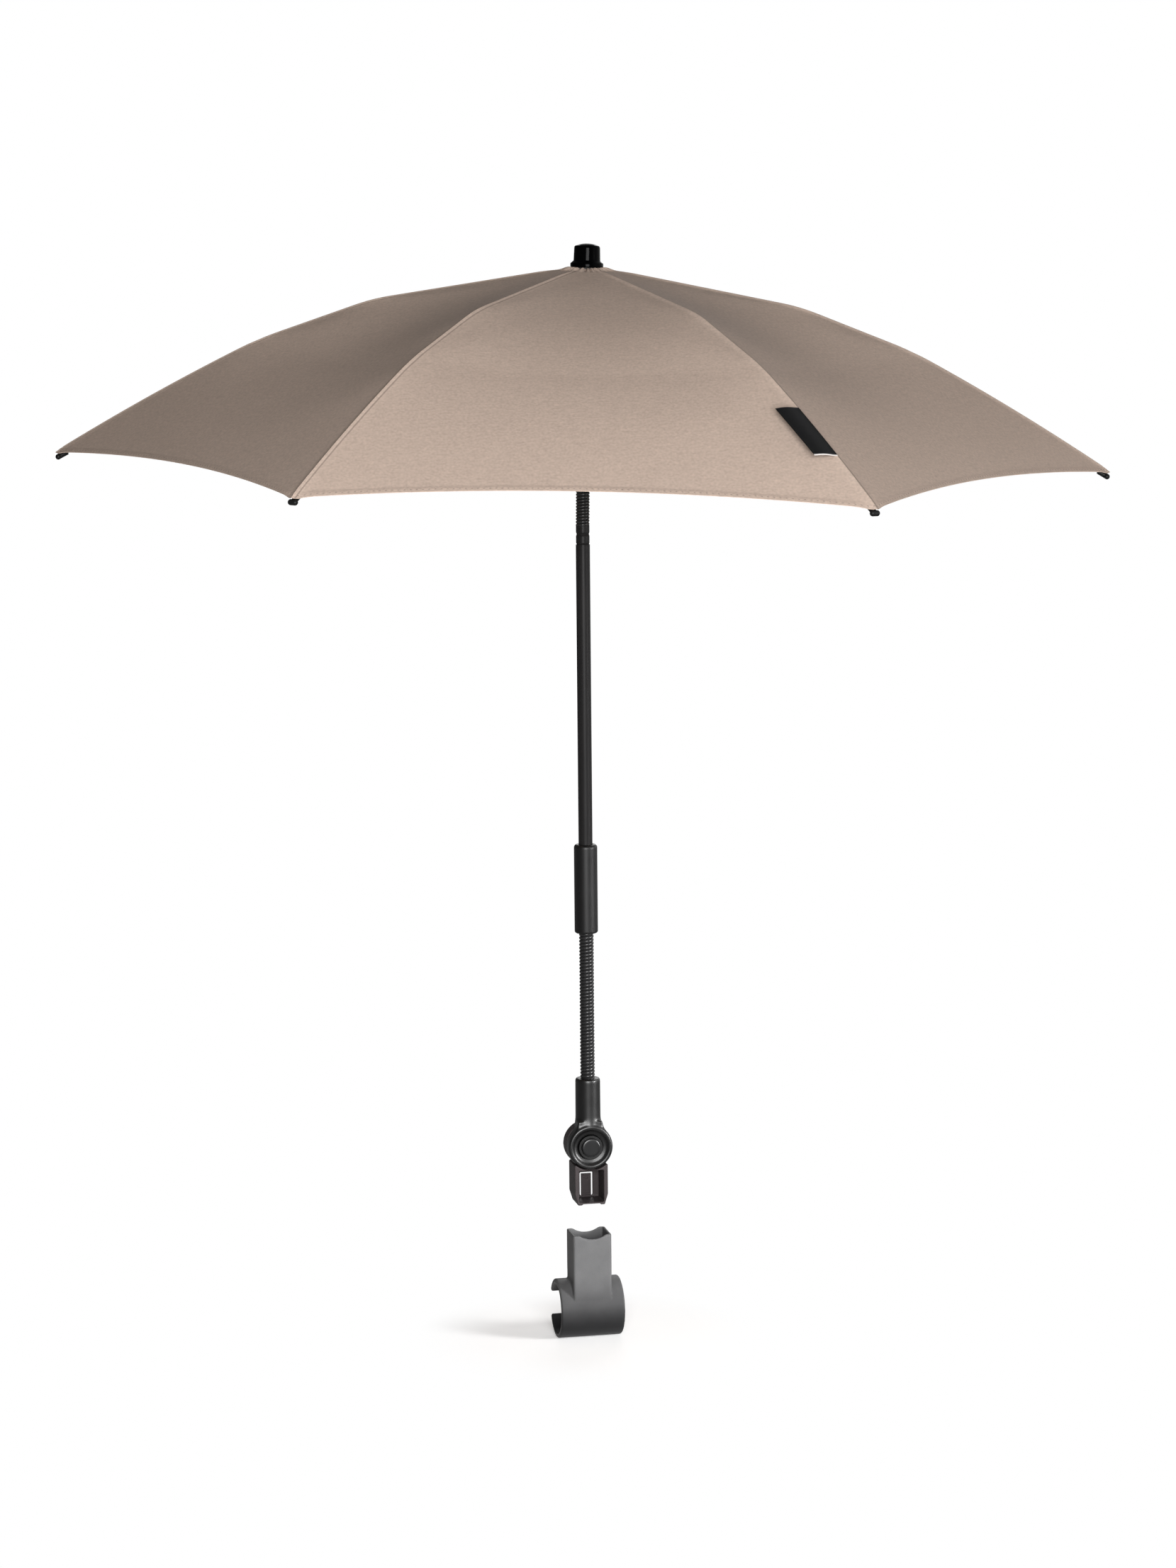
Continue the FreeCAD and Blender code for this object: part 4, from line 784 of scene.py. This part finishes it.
@dataclass
class WoundArm(Winding):
    """A flexible arm of close-wound wire between two bodies."""

    low_body: Body = Body.SHAFT
    high_body: Body = Body.CROWN

    @classmethod
    def lower(cls) -> WoundArm:
        """The arm from the knuckle to the sleeve."""
        axis = Vector(JOINTS["lower_bend"]["pos_m"])
        foot = Vector((axis.x, axis.y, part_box("knuckle")[1].z))
        head = Vector((axis.x, axis.y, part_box("coupling_sleeve")[0].z))
        return cls("lower_winding", "lower_gooseneck", foot, head, radius=0.00515, pitch=0.0024,
                   low_body=Body.KNUCKLE, high_body=Body.SHAFT)

    @classmethod
    def upper(cls, half_length: float = 0.018) -> WoundArm:
        """The thinner arm from the shaft to the canopy's tube, with its bend half-way."""
        bend = Vector(JOINTS["upper_bend"]["pos_m"])
        foot = bend - Vector((0.0, 0.0, half_length))
        head = bend + CanopyFrame().up * half_length
        return cls("upper_winding", "upper_gooseneck", foot, head, radius=0.0048, pitch=0.0021,
                   low_body=Body.SHAFT, high_body=Body.CROWN)

    def make(self, finishes: Finishes) -> None:
        """Models and dresses the arm and hides its CAD node."""
        coil = self.build()
        dress(coil, finishes.coil)
        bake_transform(coil)
        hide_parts(self.node)
        LOG.info("%s: %d faces", self.name, len(coil.data.polygons))


@dataclass
class ButtonSpring(Winding):
    """The wound spring behind the push button."""

    @classmethod
    def in_knuckle(cls, turns: int = 3, wire: float = 0.3 * MILLIMETRE) -> ButtonSpring:
        """The spring within the bounds of its CAD node.

        Args:
            turns: How often the wire goes round.
            wire: The wire's radius.

        Returns:
            The spring.
        """
        low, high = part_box("button_spring")
        middle = (low + high) / 2.0
        foot = Vector((middle.x, low.y + wire, middle.z))
        head = Vector((middle.x, high.y - wire, middle.z))
        pitch = (head - foot).length / turns
        return cls("button_winding", "button_spring", foot, head, radius=(high.x - low.x) / 2.0, pitch=pitch,
                   wire_share=2.0 * wire / pitch, hidden_turns=0.0)

    def make(self, finishes: Finishes) -> None:
        """Models, dresses and hangs the spring."""
        coil = self.build()
        dress(coil, finishes.steel)
        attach(coil, Body.KNUCKLE.value)
        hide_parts(self.node)
        low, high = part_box(self.node)
        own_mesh(coil)
        LOG.info("%s: %d faces", self.name, len(coil.data.polygons))


@dataclass
class LabelTag:
    """A bare woven tag sewn into one seam, standing off the panel at its free edge."""

    TAPE_MAP = "Tape"

    name: str = "woven_tag"
    node: str = "label_tag"
    rib_index: int = 5
    upper_gap: float = 0.107
    lower_gap: float = 0.053
    width: float = 0.0185
    lift: float = 0.0085
    lift_power: float = 1.3
    upper_lift: float = 0.85
    curl: float = 0.0014
    seam_rise: float = 0.0011
    thickness: float = 0.0005
    columns: int = 24
    rows: int = 40

    def build(self, canopy: Canopy) -> bpy.types.Object:
        """Models the tape from a grid that starts on the canopy's seam.

        Args:
            canopy: The canopy that the tag is sewn to.

        Returns:
            The finished tape.
        """
        rib = CanopyFrame().rib(self.rib_index)
        slope = canopy.slopes()[2]
        along = Vector((1.0, 0.0, -slope)).normalized()
        across = Vector((0.0, -1.0, -slope * math.tan(math.pi / canopy.rib_count))).normalized()
        up = along.cross(across)
        up = up if up.z > 0.0 else -up
        fresh_start()
        bpy.ops.mesh.primitive_grid_add(x_subdivisions=self.columns, y_subdivisions=self.rows, size=2.0)
        tape = bpy.context.object
        settle(tape, self.name)
        spots = []
        for vertex in tape.data.vertices:
            side = (vertex.co.x + 1.0) / 2.0
            down = (vertex.co.y + 1.0) / 2.0
            reach = canopy.tip[0] - (self.upper_gap + (self.lower_gap - self.upper_gap) * down) * along.x
            seam = Vector((reach, 0.0, canopy.apex_rise - canopy.fall(reach, 0.0) + self.seam_rise))
            lift = self.lift * (self.upper_lift + (1.0 - self.upper_lift) * down)
            rise = lift * side ** self.lift_power + self.curl * math.sin(math.pi * side)
            vertex.co = rib @ (seam + across * (self.width * side) + up * rise)
            spots.append((side * self.width, (1.0 - down) * (self.upper_gap - self.lower_gap)))
        tape.data.uv_layers.remove(tape.data.uv_layers[0])
        give_map(tape, self.TAPE_MAP, spots)
        wall = tape.modifiers.new("Tape thickness", "SOLIDIFY")
        wall.thickness = self.thickness
        wall.offset = 0.0
        apply_modifiers(tape)
        face_outwards(tape)
        shade_smooth(tape)
        return tape

    def make(self, canopy: Canopy, finishes: Finishes) -> None:
        """Models, dresses and hangs the tag."""
        tape = self.build(canopy)
        dress(tape, finishes.tag)
        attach(tape, Body.TAGGED_RIB.value)
        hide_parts(self.node)
        LOG.info("%s: %d faces", self.name, len(tape.data.polygons))


@dataclass
class RoundedMoulding:
    """A moulded piece made on its CAD node, with the soft edges that a mould leaves."""

    SOFT_GROUP = "Soft edges"

    node: str
    body: Body
    slot: str
    skin: float
    passes: int
    pull: float = 0.5
    smooth_angle: float = 60.0
    true_box: tuple[Vector, Vector] | None = None

    def build(self) -> bpy.types.Object:
        """Gives a copy of the node an even skin and rounds it, but not where another piece fits in.

        Returns:
            The rounded piece.
        """
        piece = bpy.data.objects.new(f"{self.node}_moulding", frame["nodes"][self.node].data.copy())
        bpy.context.scene.collection.objects.link(piece)
        face_outwards(piece)
        skin = piece.modifiers.new("Even skin", "REMESH")
        skin.mode = "VOXEL"
        skin.voxel_size = self.skin
        apply_modifiers(piece)
        rounded = [vertex.index for vertex in piece.data.vertices if not self.fits(vertex.co)]
        piece.vertex_groups.new(name=self.SOFT_GROUP).add(rounded, 1.0, "REPLACE")
        soft = piece.modifiers.new(self.SOFT_GROUP, "SMOOTH")
        soft.factor = self.pull
        soft.iterations = self.passes
        soft.vertex_group = self.SOFT_GROUP
        apply_modifiers(piece)
        shade_smooth(piece, self.smooth_angle)
        return piece

    def fits(self, spot: Vector) -> bool:
        """Whether a spot lies where another piece fits in."""
        if self.true_box is None:
            return False
        low, high = self.true_box
        return all(low[axis] < spot[axis] < high[axis] for axis in range(3))

    def make(self, material: bpy.types.Material) -> None:
        """Models, dresses and hangs the piece."""
        piece = self.build()
        dress(piece, material)
        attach(piece, self.body.value)
        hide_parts(self.node)
        LOG.info("%s: %d faces", piece.name, len(piece.data.polygons))


@dataclass
class Hardware:
    """The nodes of the CAD model, each with its own finish."""

    rib_count: int = 6

    def ribs(self, *names: str) -> list[str]:
        """The numbered nodes of some repeated pieces."""
        return [f"{name}_{number}" for name in names for number in range(1, self.rib_count + 1)]

    def make(self, finishes: Finishes) -> None:
        """Dresses the nodes, also those that a rounded moulding or the wound spring replaces."""
        groups: list[tuple[bpy.types.Material, list[str]]] = [
            (finishes.clip, ["clip"]),
            (finishes.plug, ["plug_shell", "latch_tongue"]),
            (finishes.knuckle, ["knuckle", "button_bezel"]),
            (finishes.button, ["tilt_button"]),
            (finishes.sleeve, ["coupling_sleeve"]),
            (finishes.tube, ["shaft_tube", "crimp_ferrule", "upper_tube", "tube_socket"]),
            (finishes.inner, ["crown_hub", "runner", "runner_catch", "canopy_washer"]),
            (finishes.finial, ["finial"]),
            (finishes.steel, ["pivot_bolt", "pivot_nut", "index_ring", "button_spring", "crown_wire",
                              "catch_pin"]),
            (finishes.rib, self.ribs("rib_channel", "rib_rod", "rib_rivet", "stretcher")),
            (finishes.tip, self.ribs("rib_tip")),
        ]
        for material, names in groups:
            for name in names:
                dress(frame["nodes"][name], material)
        LOG.info("hardware: %d groups of nodes dressed", len(groups))


@dataclass(frozen=True)
class Softbox:
    """One square soft light, its side in metres, its power in watts and its beam's spread in degrees."""

    name: str
    spot: Spot
    aim: Spot
    side: float
    power: float
    spread: float = 180.0

    def make(self) -> None:
        """Hangs the light at its spot and points it at its aim."""
        light = bpy.data.lights.new(self.name, "AREA")
        light.size = self.side
        light.energy = self.power
        light.spread = math.radians(self.spread)
        holder = bpy.data.objects.new(self.name, light)
        way = Vector(self.aim) - Vector(self.spot)
        turn = way.to_track_quat("-Z", "Y").to_matrix().to_4x4()
        holder.matrix_world = Matrix.Translation(Vector(self.spot)) @ turn
        bpy.context.scene.collection.objects.link(holder)


@dataclass
class Studio:
    """Pale floor and backdrop, three soft lights and the camera."""

    image_pixels: float = 2212.0
    focal_pixels: float = 6367.5
    sensor_millimetres: float = 24.0
    azimuth: float = -12.10
    elevation: float = 8.71
    roll: float = 0.51
    distance: float = 3.16
    target_side: float = 0.0036
    target_height: float = 0.37645
    floor_size: float = 6.0
    floor_colour: Colour = (0.9, 0.9, 0.9, 1.0)
    floor_glow: float = 0.3
    floor_in_gloss: float = 0.25
    fade_start: float = 0.06
    fade_end: float = 0.13
    ambient: float = 0.09
    ambient_tint: Colour = (1.0, 0.92, 0.84, 1.0)
    shaded_side: float = 0.05
    shade_to: float = 0.2
    open_from: float = 0.95
    softboxes: tuple[Softbox, ...] = (
        Softbox("front_softbox", (-0.35, -2.88, 0.85), (0.0, 0.0, 0.45), side=1.2, power=101.0),
        Softbox("right_softbox", (1.65, -1.26, 0.52), (0.0, 0.0, 0.08), side=0.54, power=1.7, spread=24.0),
        Softbox("back_softbox", (0.9, 2.5, 1.4), (0.0, 0.0, 0.5), side=1.4, power=15.0),
    )

    def camera(self) -> None:
        """Sets the camera at the photograph's angle."""
        azimuth, elevation, roll = (math.radians(turn) for turn in (self.azimuth, self.elevation, self.roll))
        back = Vector((math.sin(azimuth) * math.cos(elevation), -math.cos(azimuth) * math.cos(elevation),
                       math.sin(elevation)))
        right = Vector((math.cos(azimuth), math.sin(azimuth), 0.0))
        up = back.cross(right)
        across = right * math.cos(roll) - up * math.sin(roll)
        upright = right * math.sin(roll) + up * math.cos(roll)
        target = right * self.target_side + Vector((0.0, 0.0, self.target_height))
        lens = bpy.data.cameras.new("photo_camera")
        lens.sensor_fit = "VERTICAL"
        lens.sensor_height = self.sensor_millimetres
        lens.lens = self.focal_pixels / self.image_pixels * self.sensor_millimetres
        holder = bpy.data.objects.new("photo_camera", lens)
        turn = Matrix((across, upright, back)).transposed().to_4x4()
        holder.matrix_world = Matrix.Translation(target + back * self.distance) @ turn
        bpy.context.scene.collection.objects.link(holder)
        bpy.context.scene.camera = holder

    def rays(self, shader: Shader) -> tuple[Signal, Signal]:
        """Two switches: one for rays from the camera, one also for rays off gloss or through glass."""
        camera = shader.node("ShaderNodeLightPath", output="Is Camera Ray")
        outputs = camera.socket.node.outputs
        gloss = Signal(shader, outputs["Is Glossy Ray"])
        through = Signal(shader, outputs["Is Transmission Ray"])
        return camera, shader.math("MINIMUM", camera + gloss + through, 1.0)

    def floor(self) -> None:
        """Models the floor, which passes into open white with the distance and is dimmer in gloss."""
        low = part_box("clip")[0].z
        fresh_start()
        bpy.ops.mesh.primitive_plane_add(size=self.floor_size, location=(0.0, 0.0, low))
        floor = bpy.context.object
        settle(floor, "studio_floor")
        shader = Shader.named("studio_paper")
        spot = shader.node("ShaderNodeTexCoord", output="Object")
        distance = shader.node("ShaderNodeVectorMath", {"operation": "LENGTH"}, {0: spot}, "Value")
        far = shader.ease(distance, self.fade_start, self.fade_end)
        camera, seen = self.rays(shader)
        paper = shader.node("ShaderNodeBsdfDiffuse", {}, {"Color": self.floor_colour})
        glow = shader.node("ShaderNodeEmission", {}, {"Color": WHITE, "Strength": seen * self.floor_glow})
        near = shader.node("ShaderNodeAddShader", {}, {0: paper, 1: glow})
        level = self.floor_in_gloss + camera * (1.0 - self.floor_in_gloss)
        open_white = shader.node("ShaderNodeEmission", {}, {"Color": WHITE, "Strength": level})
        both = shader.node("ShaderNodeMixShader", {}, {0: far * seen, 1: near, 2: open_white})
        dress(floor, shader.finish(both))

    def world(self) -> None:
        """Sets the white surroundings, dimmer as light than to the eye, and dark on one side in gloss."""
        shader = Shader(bpy.data.worlds.new("studio"))
        camera, seen = self.rays(shader)
        way = shader.node("ShaderNodeTexCoord", output="Generated")
        side = shader.node("ShaderNodeSeparateXYZ", {}, {"Vector": way}, "X")
        open_side = shader.ease(side, self.shade_to, self.open_from, self.shaded_side)
        strength = self.ambient + seen * shader.math("MAXIMUM", camera, open_side) * (1.0 - self.ambient)
        colour = shader.tint(seen, self.ambient_tint, WHITE)
        back = shader.node("ShaderNodeBackground", {}, {"Color": colour, "Strength": strength})
        bpy.context.scene.world = shader.finish(back, "ShaderNodeOutputWorld")

    def make(self) -> None:
        """Builds the studio."""
        bpy.context.scene.view_settings.view_transform = "Standard"
        self.world()
        self.floor()
        for softbox in self.softboxes:
            softbox.make()
        self.camera()
        LOG.info("studio ready")


def mouldings(finishes: Finishes) -> list[tuple[RoundedMoulding, bpy.types.Material]]:
    """The rounded mouldings with their finishes. The clip's socket stays true, for the plug goes in there."""
    fine = 0.3 * MILLIMETRE
    middling = 0.38 * MILLIMETRE
    coarse = 0.5 * MILLIMETRE
    insert = JOINTS["plug_insert"]
    travel = Vector(insert["axis"]) * insert["range_m"][1]
    room = Vector((1.0, 1.0, 1.0)) * MILLIMETRE
    plug_low, plug_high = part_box("plug_shell")
    socket = (plug_low + travel - room, plug_high + travel + room)
    clip = RoundedMoulding("clip", Body.CLIP, "clip_plastic", coarse, passes=10, true_box=socket)
    plug = RoundedMoulding("plug_shell", Body.PLUG, "plug_plastic", middling, passes=5)
    knuckle = RoundedMoulding("knuckle", Body.KNUCKLE, "knuckle_plastic", middling, passes=70)
    button = RoundedMoulding("tilt_button", Body.BUTTON, "button_plastic", fine, passes=24)
    sleeve = RoundedMoulding("coupling_sleeve", Body.SHAFT, "sleeve_plastic", middling, passes=8)
    finial = RoundedMoulding("finial", Body.CROWN, "finial_plastic", fine, passes=8)
    return [
        (clip, finishes.clip),
        (plug, finishes.plug),
        (knuckle, finishes.knuckle),
        (button, finishes.button),
        (sleeve, finishes.sleeve),
        (finial, finishes.finial),
    ]


def main() -> None:
    """Builds every sub-assembly in order."""
    logging.basicConfig(level=logging.INFO, format="%(name)s: %(message)s")
    finishes = Finishes()
    Hardware().make(finishes)
    canopy = Canopy()
    canopy.make(finishes)
    for winding in (WoundArm.lower(), WoundArm.upper(), ButtonSpring.in_knuckle()):
        winding.make(finishes)
    for moulding, material in mouldings(finishes):
        moulding.make(material)
    LabelTag().make(canopy, finishes)
    Studio().make()


if __name__ == "__main__":
    main()
